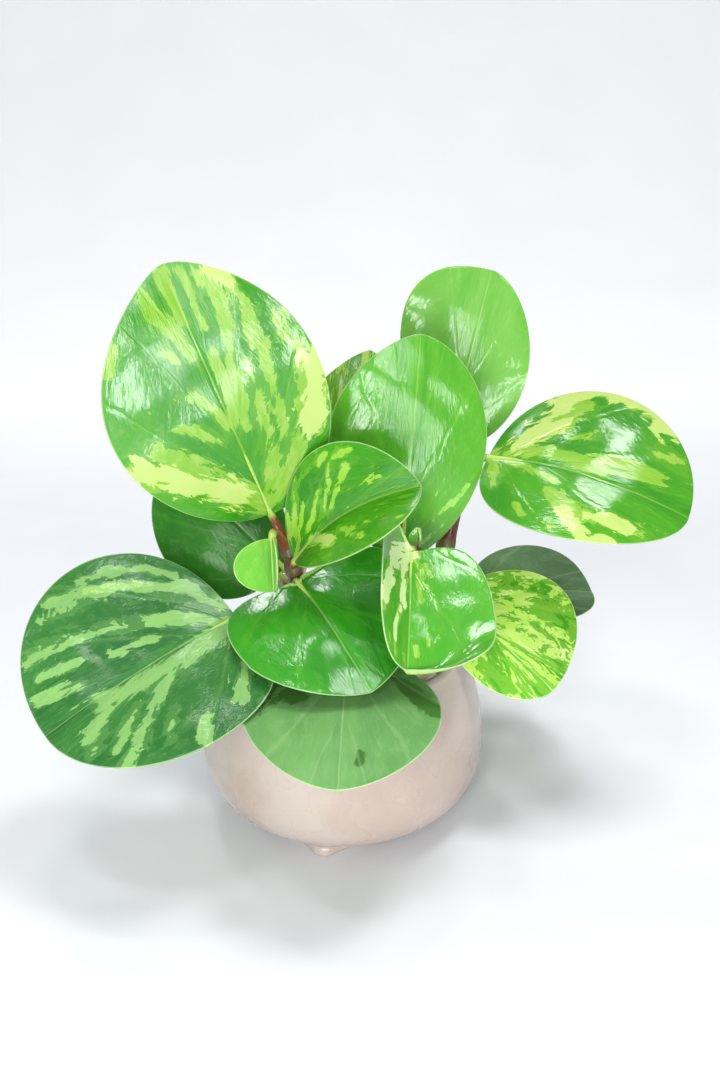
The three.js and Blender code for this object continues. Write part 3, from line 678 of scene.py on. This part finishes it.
def leaf_piece(name, finish, **leaf):
    """A blade with a sunken midrib, a rounded edge and a raised rib below, joined to its stalk."""
    material, slot = finish
    length = float(np.linalg.norm(np.subtract(leaf["tip"], leaf["base"])))
    widest = max(np.ravel(leaf["width"]))
    t, y, angle, out, faces, loop = leaf_grid(leaf, widest, leaf.get("columns", 84))
    top = leaf_surface(leaf, t, y, angle, out)
    normal = face_normals(top, faces)

    x = t * length
    chance = np.random.default_rng(leaf["seed"])
    pucker = np.zeros(len(top))
    for wavelength in PUCKER_LENGTHS:
        aim = chance.random() * np.pi
        phase = (x * math.cos(aim) + y * math.sin(aim)) * 2 * np.pi / wavelength
        pucker += 0.011 * wavelength * np.sin(phase + chance.random() * 6)
    pucker *= np.clip(1 - out ** 6, 0, 1) * 0.5 * min(1, widest / 25)
    groove = np.exp(-(y / GROOVE_WIDTH) ** 2) * np.clip(1.15 - t, 0, 1) ** 0.5 * (out < 0.9)
    rib = np.exp(-(y / RIB_WIDTH) ** 2) * np.clip(1.05 - t, 0, 1) ** 0.8 * (out < 0.9)
    thickness = LEAF_THICKNESS - EDGE_THINNING * out ** 4
    upper = top + normal * (pucker - leaf.get("groove", 0.3) * groove)[:, None]
    lower = top + normal * (pucker - thickness - RIB_DEPTH * rib)[:, None]

    ahead = np.roll(upper[loop], -1, axis=0) - np.roll(upper[loop], 1, axis=0)
    outward = np.cross(ahead, normal[loop])
    outward /= np.linalg.norm(outward, axis=1)[:, None]
    middle = (upper[loop] + lower[loop]) / 2
    half_edge = np.linalg.norm(upper[loop] - lower[loop], axis=1)[:, None] / 2
    rim = [middle + half_edge * (0.8 * math.cos(a) * outward + math.sin(a) * normal[loop])
           for a in np.radians([50, 0, -50])]
    count, ring = len(top), len(loop)
    under = moved([face[::-1] for face in faces], count)
    chain = [loop] + [2 * count + n * ring + np.arange(ring) for n in range(3)] + [loop + count]
    sides = []
    for first, second in zip(chain, chain[1:]):
        for m in range(ring):
            n = (m + 1) % ring
            sides.append((int(first[m]), int(second[m]), int(second[n]), int(first[n])))
    stalk_points, stalk_faces, stalk_run = leaf_stalk(leaf, min(1, widest / 9))
    stalk_faces = moved(stalk_faces, 2 * count + 3 * ring)

    foot, run = vein_foot(x, y, length)
    feet = np.linspace(FIRST_FOOT, LAST_FOOT, 65)
    apart = np.cumsum(np.sin(np.interp(feet, LEAN_FROM, LEAN))) * (feet[1] - feet[0]) * length
    spread = np.interp(foot, feet, apart)
    flow = np.column_stack([spread, run * np.sign(y), np.full(count, leaf["seed"] * 17.3)])
    lime = strokes_at(leaf.get("lime", []), x, y, leaf, leaf.get("flecks", -3))
    cream = strokes_at(leaf.get("cream", []), x, y, leaf, leaf.get("cream_flecks", -3))
    lime = np.maximum(lime, np.minimum(cream * 1.3 + 0.3, 1))
    kept = strokes_at(leaf.get("green_left", []), x, y, leaf, -1)
    patch = np.column_stack([np.minimum(lime, -kept), np.minimum(cream, -kept), kept])
    place = np.column_stack([t, abs(y), out])
    edge = np.column_stack([t[loop], abs(y[loop]), np.ones(ring)])
    skin = np.zeros((count, 3))
    blank = np.zeros((len(stalk_run), 3))
    marks = {
        "flow": [flow, flow] + [flow[loop]] * 3 + [blank],
        "place": [place, place] + [edge] * 3 + [blank],
        "patch": [patch, patch] + [patch[loop]] * 3 + [blank - 1],
        "skin": [skin, skin + (1, 0, 0)] + [skin[loop] + (n, 0, 0) for n in (0, 0.5, 1)]
                + [np.column_stack([np.full(len(stalk_run), 2), stalk_run, stalk_run])],
    }
    make_piece(name + "_blade", np.vstack([upper, lower, *rim, stalk_points]),
               faces + under + sides + stalk_faces, material, name,
               {mark: np.vstack(values) for mark, values in marks.items()})


def between(share, first, second):
    """The colour that lies the given share of the way from the first to the second."""
    return tuple(a + (b - a) * share for a, b in zip(first, second))


def leaf_finish(name, green, deep, lime, cream, back=(150, 184, 96), slot="leaf", gloss=0.2,
                half_tone=0.5, vein_show=0.25, coat=0.7, dark=None):
    """Waxy leaf skin: two greens, ragged lime and cream patches, pale midrib, veins and edge."""
    green, deep, lime, cream, back = (shade(*c) for c in (green, deep, lime, cream, back))
    leaf = Finish(name)
    flow = leaf.mark("flow")
    across_veins = leaf.parts(flow)[0]
    t, away, out = leaf.parts(leaf.mark("place"))
    lime_depth, cream_depth, dark_depth = leaf.parts(leaf.mark("patch"))
    side, stalk_run, _ = leaf.parts(leaf.mark("skin"))

    broad = leaf.cloud(leaf.stretch(flow, (0.3, 0.05, 1.0)), 1, 3, 0.6, 0.5)
    rough = leaf.cloud(leaf.stretch(flow, (0.95, 0.2, 1.0)), 1, 5, 0.7, 0.8)
    ragged_edge = leaf.reckon("ADD", leaf.reckon("MULTIPLY_ADD", broad, 5.0, -2.5),
                              leaf.reckon("MULTIPLY_ADD", rough, 3.4, -1.8))
    other = leaf.cloud(leaf.stretch(flow, (0.5, 0.1, -1.0)), 1, 4, 0.65, 0.7)
    other_edge = leaf.reckon("MULTIPLY_ADD", other, 5.2, -2.6)
    lime_level = leaf.reckon("ADD", lime_depth, ragged_edge)
    mid_level = leaf.reckon("ADD", lime_depth, other_edge)
    cream_level = leaf.reckon("ADD", cream_depth, leaf.reckon("ADD", other_edge, 0.1))

    drift = leaf.cloud(leaf.stretch(flow, (0.05, 0.03, 1.0)), 1, 3)
    tone = leaf.mix(leaf.step(drift, 0.36, 0.64), green, deep)
    tone = leaf.mix(leaf.step(rough, 0.45, 0.7, 0, 0.22), tone, lime)
    tone = leaf.mix(leaf.step(mid_level, -0.32, -0.26, 0, half_tone), tone,
                    between(0.42, green, lime))
    patchy = leaf.mix(leaf.step(other, 0.4, 0.6), lime, between(0.3, lime, cream))
    tone = leaf.mix(leaf.step(lime_level, -0.02, 0.04), tone, patchy)
    tone = leaf.mix(leaf.step(cream_level, -0.02, 0.05), tone, cream)
    if dark:
        dark_level = leaf.reckon("MULTIPLY_ADD", ragged_edge, 0.6, dark_depth)
        tone = leaf.mix(leaf.step(dark_level, -0.25, 0.25), tone, shade(*dark))

    comb = leaf.reckon("PINGPONG", leaf.reckon("MULTIPLY_ADD", broad, 2.2, across_veins), 3.6)
    vein_line = leaf.step(comb, 0.0, 0.5, 1, 0)
    vein_line = leaf.reckon("MULTIPLY", vein_line, leaf.step(away, 0.4, 3.0))
    tone = leaf.mix(leaf.reckon("MULTIPLY", vein_line, vein_show * 0.5), tone, lime)
    rib_width = leaf.reckon("MULTIPLY_ADD", t, -0.35, 0.42)
    rib_share = leaf.step(leaf.reckon("SUBTRACT", away, rib_width), -0.15, 0.25, 1, 0)
    tone = leaf.mix(leaf.reckon("MULTIPLY", rib_share, 0.55), tone, between(0.3, lime, cream))
    tone = leaf.mix(leaf.step(out, 0.99, 0.999, 0, 0.45), tone,
                    between(0.4, cream, shade(226, 234, 206)))

    under = leaf.mix(leaf.step(rough, 0.3, 0.7), back, between(0.35, back, cream))
    under = leaf.mix(leaf.step(lime_level, -0.1, 0.1, 0, 0.45), under, cream)
    under = leaf.mix(leaf.reckon("MULTIPLY", vein_line, 0.25), under, green)
    tone = leaf.mix(leaf.step(side, 0.55, 0.95), tone, under)
    stalk_grain = leaf.cloud(leaf.place(), 240, 4)
    stalk_share = leaf.reckon("MULTIPLY_ADD", stalk_grain, 0.5,
                              leaf.reckon("ADD", stalk_run, -0.25))
    stalk_tone = leaf.mix(leaf.step(stalk_share, 0.62, 1.0), shade(132, 70, 44),
                          shade(170, 200, 96))
    tone = leaf.mix(leaf.step(side, 1.4, 1.6), tone, stalk_tone)

    dent = leaf.cloud(leaf.stretch(flow, (0.6, 0.42, 1.0)), 1, 4, 0.58)
    wax = leaf.relief(dent, 0.5, 0.0003)
    seams = leaf.relief(leaf.reckon("MULTIPLY", vein_line, -1.0), vein_show, 0.0002, wax)
    shine = leaf.reckon("ADD", leaf.step(rough, 0.3, 0.7, gloss - 0.04, gloss + 0.07),
                        leaf.reckon("MULTIPLY", leaf.step(side, 0.6, 1.0), 0.22))
    leaf.close(
        base_color=tone, roughness=shine, normal=seams, coat_normal=seams, coat_weight=coat,
        coat_roughness=0.07, specular_ior_level=0.1, subsurface_weight=0.08,
        subsurface_radius=(0.002, 0.003, 0.0008), subsurface_scale=1.0)
    return leaf.material, slot


LIME = (116, 168, 44)
CREAM = (172, 194, 106)
variegated = leaf_finish(
    "variegated_leaf", green=(66, 144, 28), deep=(46, 128, 24), lime=LIME, cream=CREAM)

leaf_piece("leaf_upper_left", variegated, stem="stem_left", joins=107.5, base=(-24, -8, 117),
    tip=(-53, -25, 201), faces=(0.1, -1, 0.25), width=(37, 34), fullness=((0.6, 0.5), (0.62, 0.5)),
    bend=18, fold=6, curl=-8, seed=3, flecks=-1.1, point=(0.32, 42),
    cream=[(4, (14, 30), (20, 44), (27, 62), (33, 80), (37, 95)),
        (3.6, (52, -95), (44, -90), (37, -84), (30, -74)), (1.8, (93, -90), (87, -86))],
    lime=[(4.2, (6, 12), (16, 32), (30, 52), (40, 72)), (1.7, (56, 18), (48, 10), (40, 4)),
        (1.3, (58, 33), (55, 28)), (2, (97, 12), (90, 8), (80, 3)), (2, (83, 17), (75, 13), (68, 9)),
        (2.3, (93, 65), (88, 48), (83, 32), (79, 22)), (1.8, (82, 97), (74, 95)),
        (1.5, (74, 34), (69, 22)), (1.8, (47, 42), (42, 27), (36, 13)),
        (1.5, (97, -40), (91, -33), (86, -26)),
        (2.2, (93, -64), (86, -55), (78, -45), (70, -35), (62, -27), (50, -19), (40, -12)),
        (2, (87, -84), (78, -70), (68, -56)), (1.6, (67, -13), (56, -10), (48, -8), (41, -5)),
        (1.2, (84, -19), (76, -16)),
        (2.4, (60, -36), (50, -34), (40, -32), (30, -28), (20, -26), (12, -24)),
        (1.9, (67, -56), (56, -53), (46, -50), (36, -50), (26, -52)),
        (3, (68, -90), (58, -86), (46, -80), (34, -70), (22, -55), (10, -40)),
        (1.1, (5, -30), (10, -55), (14, -78))])

leaf_piece("leaf_right", variegated, stem="stem_right", joins=123.5, base=(52, 12, 131.5),
    tip=(116, -16, 118), faces=(0.1, -0.8, 0.6), width=(38, 26), fullness=((0.42, 0.4), (0.46, 0.58)),
    bend=45, fold=(-4, 10), curl=(-14, -10), sweep=1, seed=8, flecks=-1,
    green_left=[(6, (2, 75), (7, 85), (13, 95)), (3, (56, 80), (66, 82)), (2, (77, 82), (82, 85))],
    cream=[(3, (20, 97), (30, 98), (40, 99), (50, 98), (60, 99), (70, 98), (80, 95)),
        (3.5, (70, 90), (76, 84)), (3.5, (10, 45), (16, 62), (24, 80)),
        (2.6, (13, 20), (22, 42), (30, 52)), (2, (47, -66), (52, -75), (58, -90)),
        (2.2, (58, -62), (66, -67), (74, -72)), (1.4, (60, -98), (70, -96))],
    lime=[(5, (6, 20), (14, 45), (24, 60), (34, 80)), (2.6, (20, 12), (30, 14), (42, 13), (55, 12)),
        (2.6, (60, 22), (70, 26), (80, 30)), (3, (78, 60), (88, 68)), (2, (36, 35), (45, 42)),
        (2.2, (3, -10), (6, -35), (9, -62)), (1.6, (12, -6), (20, -12), (30, -17), (37, -22)),
        (1.2, (36, -38), (39, -42)), (2.6, (38, -45), (45, -56), (50, -70), (55, -85), (58, -98)),
        (2.6, (54, -57), (62, -63), (70, -68), (80, -78)), (1.2, (25, -75), (29, -85)),
        (1.6, (42, -85), (46, -90))])

# --- The folded and cupped leaves ---
# Two younger variegated leaves in the middle of the plant: one half closed like a book, the other
# cupped round its pale valley with a turned-up rim and a long pointed corner at its base. That pale
# band is partly cream variegation and partly a painted highlight, and the cupped leaf's greens are
# painted lighter for the light its tilt catches.
folded = leaf_finish(
    "folded_leaf", green=(62, 142, 20), deep=(42, 120, 16), lime=(128, 180, 48), cream=CREAM,
    half_tone=0.7)

leaf_piece("leaf_folded", folded, stem="stem_left", joins=97, base=(-16, -13, 102), tip=(26, -25, 132),
    faces=(-0.2, -0.65, 0.75), width=(23, 21.5), fullness=((0.8, 0.8), (0.7, 0.6)), bend=30,
    fold=(40, 22), curl=-5, sweep=3.5, seed=21, flecks=-0.8,
    lime=[(0.7, (28, 28), (36, 42), (44, 55)), (0.6, (36, 20), (43, 36), (50, 50)),
        (0.7, (42, 18), (48, 30), (54, 42)), (1, (58, 48), (64, 60)), (0.6, (50, 60), (55, 70)),
        (1, (60, 80), (70, 86)), (0.7, (50, 82), (58, 90)), (0.6, (72, 30), (80, 36)),
        (0.8, (12, 50), (20, 68), (28, 80)), (0.6, (20, 42), (28, 58)), (0.8, (8, 75), (16, 88)),
        (0.6, (25, 85), (33, 93)), (0.6, (20, 20), (26, 30)), (1.8, (18, -10), (30, -30), (38, -55)),
        (0.9, (50, -50), (60, -70)), (0.8, (42, -30), (55, -45))],
    cream=[(1.7, (24, -15), (30, -30), (36, -50))])

# Painted light: these greens are lighter than the other variegated leaves' for the light that falls on
# this tilted leaf, and the pale cream is partly the leaf's own cream and partly a painted highlight along
# its valley.
cupped = leaf_finish(
    "cupped_leaf_painted_light", green=(86, 164, 44), deep=(68, 150, 38), lime=LIME, cream=(200, 224, 156))
leaf_piece("leaf_cupped", cupped, stem="stem_centre", joins=95, base=(23.5, -19, 107),
    tip=(21.5, -50, 79), faces=(0.05, -0.68, 0.73), width=(28, 17), fullness=((0.45, 0.35), (0.3, 0.4)),
    bend=12, fold=(8, 48), curl=(-14, 12), lobe=(0.3, 0.75),
    lip=dict(height=8, angle=36, spread=24, sharp=6), groove=0.2, seed=31, flecks=-1.1,
    lime=[(0.9, (6, 10), (20, 16), (32, 20)), (0.6, (20, 10), (35, 12), (45, 14)),
        (0.6, (12, 25), (22, 33)), (0.6, (66, 30), (74, 34)), (0.6, (74, 20), (82, 24)),
        (0.7, (82, 8), (88, 12)), (1.4, (50, -95), (62, -96)), (0.9, (90, -20), (97, -15)),
        (0.9, (82, -62), (93, -70)), (0.7, (78, -80), (86, -88)),
        (1.6, (2, -50), (15, -60), (30, -70), (42, -85))],
    # These cream strokes along the valley are partly cream variegation and partly a painted highlight.
    cream=[(2.4, (0, -50), (10, -60), (25, -70), (40, -80), (52, -90)),
        (1.4, (5, -20), (20, -25), (36, -22), (50, -20)), (1.2, (55, -30), (70, -50), (80, -55))])

# --- The lime leaf at the lower right and the one at the back ---
# Here the pale colour has taken most of the blade, and the green is left as torn islands that
# run along the side veins.
limed = leaf_finish(
    "lime_leaf", green=(86, 164, 36), deep=(60, 142, 30), lime=(164, 206, 80),
    cream=(212, 228, 150), back=(156, 184, 100))

leaf_piece("leaf_lower_right", limed, stem="stem_centre", joins=78, base=(39, 0, 83), tip=(73, -25, 58.5),
    faces=(0.1, -0.8, 0.6), width=(31, 16), fullness=(0.5, (0.5, 0.45)), bend=10, fold=0, curl=-8,
    seed=41, flecks=0.0, cream_flecks=-0.9, point=(0.2, 40))

leaf_piece("leaf_back_centre", limed, stem="stem_left", joins=92, knee=0.15, base=(-13, 24, 92),
    tip=(10, 40, 164.5), faces=(-0.1, -1, 0.1), width=(19, 22), fullness=((0.9, 0.5), (0.85, 0.6)),
    bend=15, fold=0, curl=-10, seed=45, flecks=-0.2)

# --- The dark streaked leaf ---
# The oldest and largest leaf, at the lower left: deep blue-green, streaked with pale green that
# fans out from the stalk, and cupped a little along its midrib.
streaked = leaf_finish(
    "streaked_leaf", green=(50, 112, 48), deep=(36, 96, 40), lime=(118, 166, 94),
    cream=(140, 186, 98), back=(124, 156, 100), gloss=0.36, coat=0.22)

leaf_piece("leaf_lower_left", streaked, stem="stem_left", joins=74, base=(-36, -20, 84),
    tip=(-92, -60, 61), faces=(-0.1, -0.6, 0.8), width=(39, 46), fullness=((0.38, 0.43), 0.5), bend=20,
    fold=12, curl=-10, lobe=(0.08, 0), seed=5, flecks=-1.1,
    cream=[(1.6, (30, -65), (42, -72), (50, -76))],
    lime=[(3, (3, -30), (13, -50), (24, -58), (35, -66), (45, -72), (55, -79), (67, -89)),
        (1.5, (12, -75), (20, -79), (30, -82), (40, -85), (50, -88)),
        (1.8, (58, -72), (66, -80), (74, -90)),
        (2.3, (12, -10), (25, -22), (38, -32), (50, -40), (60, -48), (70, -58), (80, -70), (88, -85)),
        (1.4, (37, -16), (46, -19)), (1.2, (52, -20), (58, -23)), (1.4, (72, -36), (80, -46), (88, -60)),
        (2, (78, -20), (86, -32), (93, -50)),
        (3.4, (6, 3), (18, 10), (30, 13), (42, 13), (52, 14), (62, 12), (72, 8)),
        (2, (40, 16), (50, 28), (58, 42), (66, 58), (74, 78), (80, 95)),
        (1.6, (62, 30), (68, 42), (74, 55), (80, 72)), (2, (72, 18), (80, 32), (86, 50)),
        (1.4, (86, 65), (90, 78)), (1.6, (51, 56), (57, 68), (60, 78)), (1.7, (44, 78), (50, 95)),
        (2, (8, 58), (14, 66), (21, 74), (27, 85))])

# --- The plain green leaves ---
# Leaves with next to no pattern, in four greens from pale to dark, with a fine pale midrib. All
# but the dark one at the back are very glossy.
plain = leaf_finish(
    "plain_leaf", slot="leaf_plain", green=(86, 160, 42), deep=(64, 144, 34), lime=(126, 188, 72),
    cream=(180, 206, 120), back=(120, 164, 70), gloss=0.18, half_tone=0.12, vein_show=0.3)
pale_plain = leaf_finish(
    "pale_plain_leaf", slot="leaf_plain", green=(110, 172, 72), deep=(92, 162, 56),
    lime=(140, 196, 90), cream=(186, 210, 132), back=(124, 166, 78), gloss=0.22, half_tone=0.12,
    vein_show=0.3)
front_plain = leaf_finish(
    "front_plain_leaf", slot="leaf_plain", green=(50, 140, 28), deep=(32, 114, 22),
    lime=(96, 168, 50), cream=(180, 206, 120), back=(120, 164, 70), gloss=0.18, half_tone=0.12,
    vein_show=0.3)
dark_plain = leaf_finish(
    "dark_plain_leaf", slot="leaf_plain", green=(38, 104, 22), deep=(24, 84, 16),
    lime=(80, 140, 46), cream=(150, 184, 104), back=(100, 140, 70), gloss=0.42, half_tone=0.15,
    coat=0.2)

leaf_piece("leaf_upper_centre", plain, stem="stem_right", joins=84, base=(21, 5, 94), tip=(27, 10, 175),
    faces=(0.05, -1, 0.3), width=(30, 27), fullness=(0.72, (0.68, 0.62)), bend=25, fold=-6, curl=-10,
    seed=51,
    lime=[(0.6, (20, -55), (30, -70)), (0.6, (10, -60), (20, -80)), (0.4, (30, -40), (40, -50)),
        (0.6, (28, -75), (38, -88)), (0.5, (5, -40), (12, -60))])

leaf_piece("leaf_upper_right", pale_plain, stem="stem_right", joins=112, base=(39, 30, 131),
    tip=(54, 42, 193), faces=(-0.1, -1, 0.35), width=(28, 22), fullness=((0.65, 0.5), (0.34, 0.6)),
    bend=18, fold=-4, curl=-8, wave=(2, 1.5, 0.1), seed=52)

leaf_piece("leaf_front", front_plain, stem="stem_left", joins=91, base=(-15, -14, 94.5),
    tip=(10, -55, 74), faces=(0, -0.5, 0.9), width=(35.5, 31), fullness=((0.34, 0.38), 0.66), bend=25,
    fold=4, curl=-14, lobe=(0.4, 0.2), seed=53)

leaf_piece("leaf_back_left", dark_plain, stem="stem_left", joins=80, base=(-21, 5, 92),
    tip=(-62, 20, 128), faces=(-0.3, -0.8, 0.6), width=(29, 20), fullness=((0.38, 0.7), 0.5), bend=20,
    fold=0, curl=-10, seed=54)

# --- The dull leaves ---
# Two lower leaves have lost their shine: one hangs out over the rim, sage green with its veins
# standing out, the other lies far to the right, grey-green.
sage = leaf_finish(
    "sage_leaf", slot="leaf_plain", green=(112, 164, 94), deep=(98, 150, 84), lime=(150, 188, 128),
    cream=(176, 198, 150), back=(136, 164, 112), gloss=0.42, half_tone=0.3, vein_show=0.5,
    coat=0.15, dark=(66, 112, 48))
greyed = leaf_finish(
    "greyed_leaf", slot="leaf_plain", green=(84, 118, 76), deep=(60, 94, 56), lime=(124, 152, 112),
    cream=(156, 174, 140), back=(116, 138, 102), gloss=0.36, half_tone=0.25, vein_show=0.6,
    coat=0.3)

leaf_piece("leaf_over_rim", sage, stem="stem_left", joins=66, base=(2, -17, 70), tip=(0, -88, 60),
    faces=(0.05, -0.2, 1), width=(31, 33), fullness=((0.75, 0.5), (0.7, 0.6)), bend=25, fold=(-3, -8),
    curl=5, seed=61,
    green_left=[(5, (20, -75), (35, -80), (50, -95)), (4, (20, -40), (30, -50), (42, -50)),
        (3.5, (30, 75), (42, 80), (52, 92)), (1.3, (80, 28), (86, 29))])

leaf_piece("leaf_far_right", greyed, stem="stem_right", joins=73, base=(49, 25, 71), tip=(98, 35, 70),
    faces=(0, -0.35, 0.9), width=(28, 16), fullness=(0.5, (0.32, 0.45)), bend=20, fold=4, curl=-10,
    seed=62)

# --- The young leaves ---
# The newest growth: a small lime leaf that is still folded down its middle, and the bud at the
# tip of the middle stem.
young = leaf_finish(
    "young_leaf", slot="leaf_plain", green=(114, 182, 62), deep=(94, 166, 52), lime=(158, 208, 96),
    cream=(200, 224, 140), back=(150, 196, 86), gloss=0.3, half_tone=0.3)

leaf_piece("leaf_young", young, stem="stem_left", joins=104, base=(-23, -21, 112.5), tip=(-22, -28, 96.5),
    faces=(-0.5, -0.8, 0.3), width=(14, 13), fullness=(0.5, 0.45), bend=0, fold=50, curl=0, seed=71,
    across_step=1.2, columns=48)

leaf_piece("leaf_bud", young, stem="stem_centre", joins=103, base=(26, -9, 107), tip=(26, -8.5, 112),
    faces=(-0.5, -0.7, 0.5), width=2.6, fullness=(0.5, 0.9), bend=10, fold=40, curl=0, groove=0.15,
    seed=72, across_step=0.6, columns=32)

# --- The leaves at the rear ---
# Four more leaves fill the back of the plant, as they do on any plant that is turned in its
# light. They have no strokes of their own, so chance alone lays their flecks.
leaf_piece("leaf_rear_left", streaked, stem="stem_left", joins=76, base=(-24, 16, 86), tip=(-56, 66, 84),
    faces=(-0.25, 0.45, 0.9), width=(26, 27), fullness=(0.45, 0.55), bend=28, fold=4, curl=-12, seed=81,
    flecks=-0.45)

leaf_piece("leaf_rear_high", variegated, stem="stem_right", joins=96, base=(24, 34, 108),
    tip=(4, 62, 152), faces=(-0.2, 0.9, 0.5), width=(25, 24), fullness=(0.5, 0.6), bend=25, fold=5,
    curl=-10, seed=82, flecks=-0.25)

leaf_piece("leaf_rear_right", variegated, stem="stem_right", joins=68, base=(38, 38, 71),
    tip=(56, 86, 58), faces=(0.2, 0.4, 0.9), width=24, fullness=(0.45, 0.55), bend=28, fold=4, curl=-12,
    seed=83, flecks=-0.35)

leaf_piece("leaf_rear_low", streaked, stem="stem_left", joins=68, base=(-4, 22, 72), tip=(-2, 82, 60),
    faces=(0, 0.3, 1), width=(28, 27), fullness=(0.5, 0.6), bend=30, fold=-2, curl=-4, seed=84,
    flecks=-0.5)

# --- The table top and the light ---
# A pale sweep of paper runs under the pot and up behind it. The light comes from four skylights
# above and five windows in front, in an airy white room.
PLANT_MIDDLE = Vector((0.0, -0.01, 0.11))
SWEEP_RADIUS = 0.9
paper = Finish("pale_paper")
fibre = paper.cloud(paper.place(), 9, 4)
glow = paper.step(paper.parts(paper.place())[1], 0.2, 0.8, 0.0, 0.36)
paper_finish = paper.close(
    base_color=paper.mix(paper.step(fibre, 0.3, 0.7), shade(229, 231, 235), shade(225, 228, 232)),
    roughness=0.9, emission_color=(1.0, 1.0, 1.0), emission_strength=glow)
sweep = [(0.7 + SWEEP_RADIUS * math.sin(a), SWEEP_RADIUS - SWEEP_RADIUS * math.cos(a))
         for a in np.radians(range(0, 91, 6))]
sweep = [(-2.2, 0.0), *sweep, (1.6, 2.6)]
paper_points = [(x, y, z) for y, z in sweep for x in (-2.6, 2.6)]
paper_faces = [(2 * i, 2 * i + 1, 2 * i + 3, 2 * i + 2) for i in range(len(sweep) - 1)]
paper_mesh = bpy.data.meshes.new("paper_sweep")
paper_mesh.from_pydata(paper_points, [], paper_faces)
paper_mesh.polygons.foreach_set("use_smooth", [True] * len(paper_mesh.polygons))
paper_mesh.materials.append(paper_finish)
backdrop = bpy.data.objects.new("paper_sweep", paper_mesh)
bpy.context.scene.collection.objects.link(backdrop)


def window(name, way, distance, width, height, power, colour=(1.0, 1.0, 1.0)):
    """A soft window: it hangs off the plant's middle in the given way and faces it."""
    light = bpy.data.lights.new(name, "AREA")
    light.shape = "RECTANGLE"
    light.size = width
    light.size_y = height
    light.energy = power
    light.color = colour
    lamp = bpy.data.objects.new(name, light)
    bpy.context.scene.collection.objects.link(lamp)
    aim = Vector(way).normalized()
    lamp.location = PLANT_MIDDLE + aim * distance
    lamp.rotation_euler = aim.to_track_quat("Z", "Y").to_euler()


window("skylight_right", (0.25, -0.06, 0.96), 1.0, 0.28, 0.24, 4.2)
window("skylight_middle", (-0.12, 0.06, 0.99), 1.0, 0.08, 0.12, 0.9)
window("skylight_back", (-0.25, 0.47, 0.85), 1.0, 0.15, 0.18, 1.7)
window("skylight_front", (-0.15, -0.35, 0.92), 1.0, 0.22, 0.09, 1.4)
window("window_high", (-0.16, -0.88, 0.42), 0.8, 0.1, 0.22, 1.6)
window("window_left", (-0.32, -0.94, 0.06), 0.7, 0.1, 0.22, 1.4)
window("window_middle", (0.03, -1.0, -0.01), 0.62, 0.05, 0.13, 0.45)
window("window_right", (0.4, -0.94, -0.07), 0.5, 0.07, 0.17, 0.7)
window("window_low", (0.03, -0.98, -0.19), 0.353, 0.05, 0.07, 0.26, (0.94, 0.98, 1.0))

world = bpy.data.worlds.new("airy_room")
world.use_nodes = True
world.node_tree.nodes["Background"].inputs["Color"].default_value = (0.98, 0.99, 1.0, 1)
world.node_tree.nodes["Background"].inputs["Strength"].default_value = 0.4
bpy.context.scene.world = world
bpy.context.scene.view_settings.view_transform = "Standard"
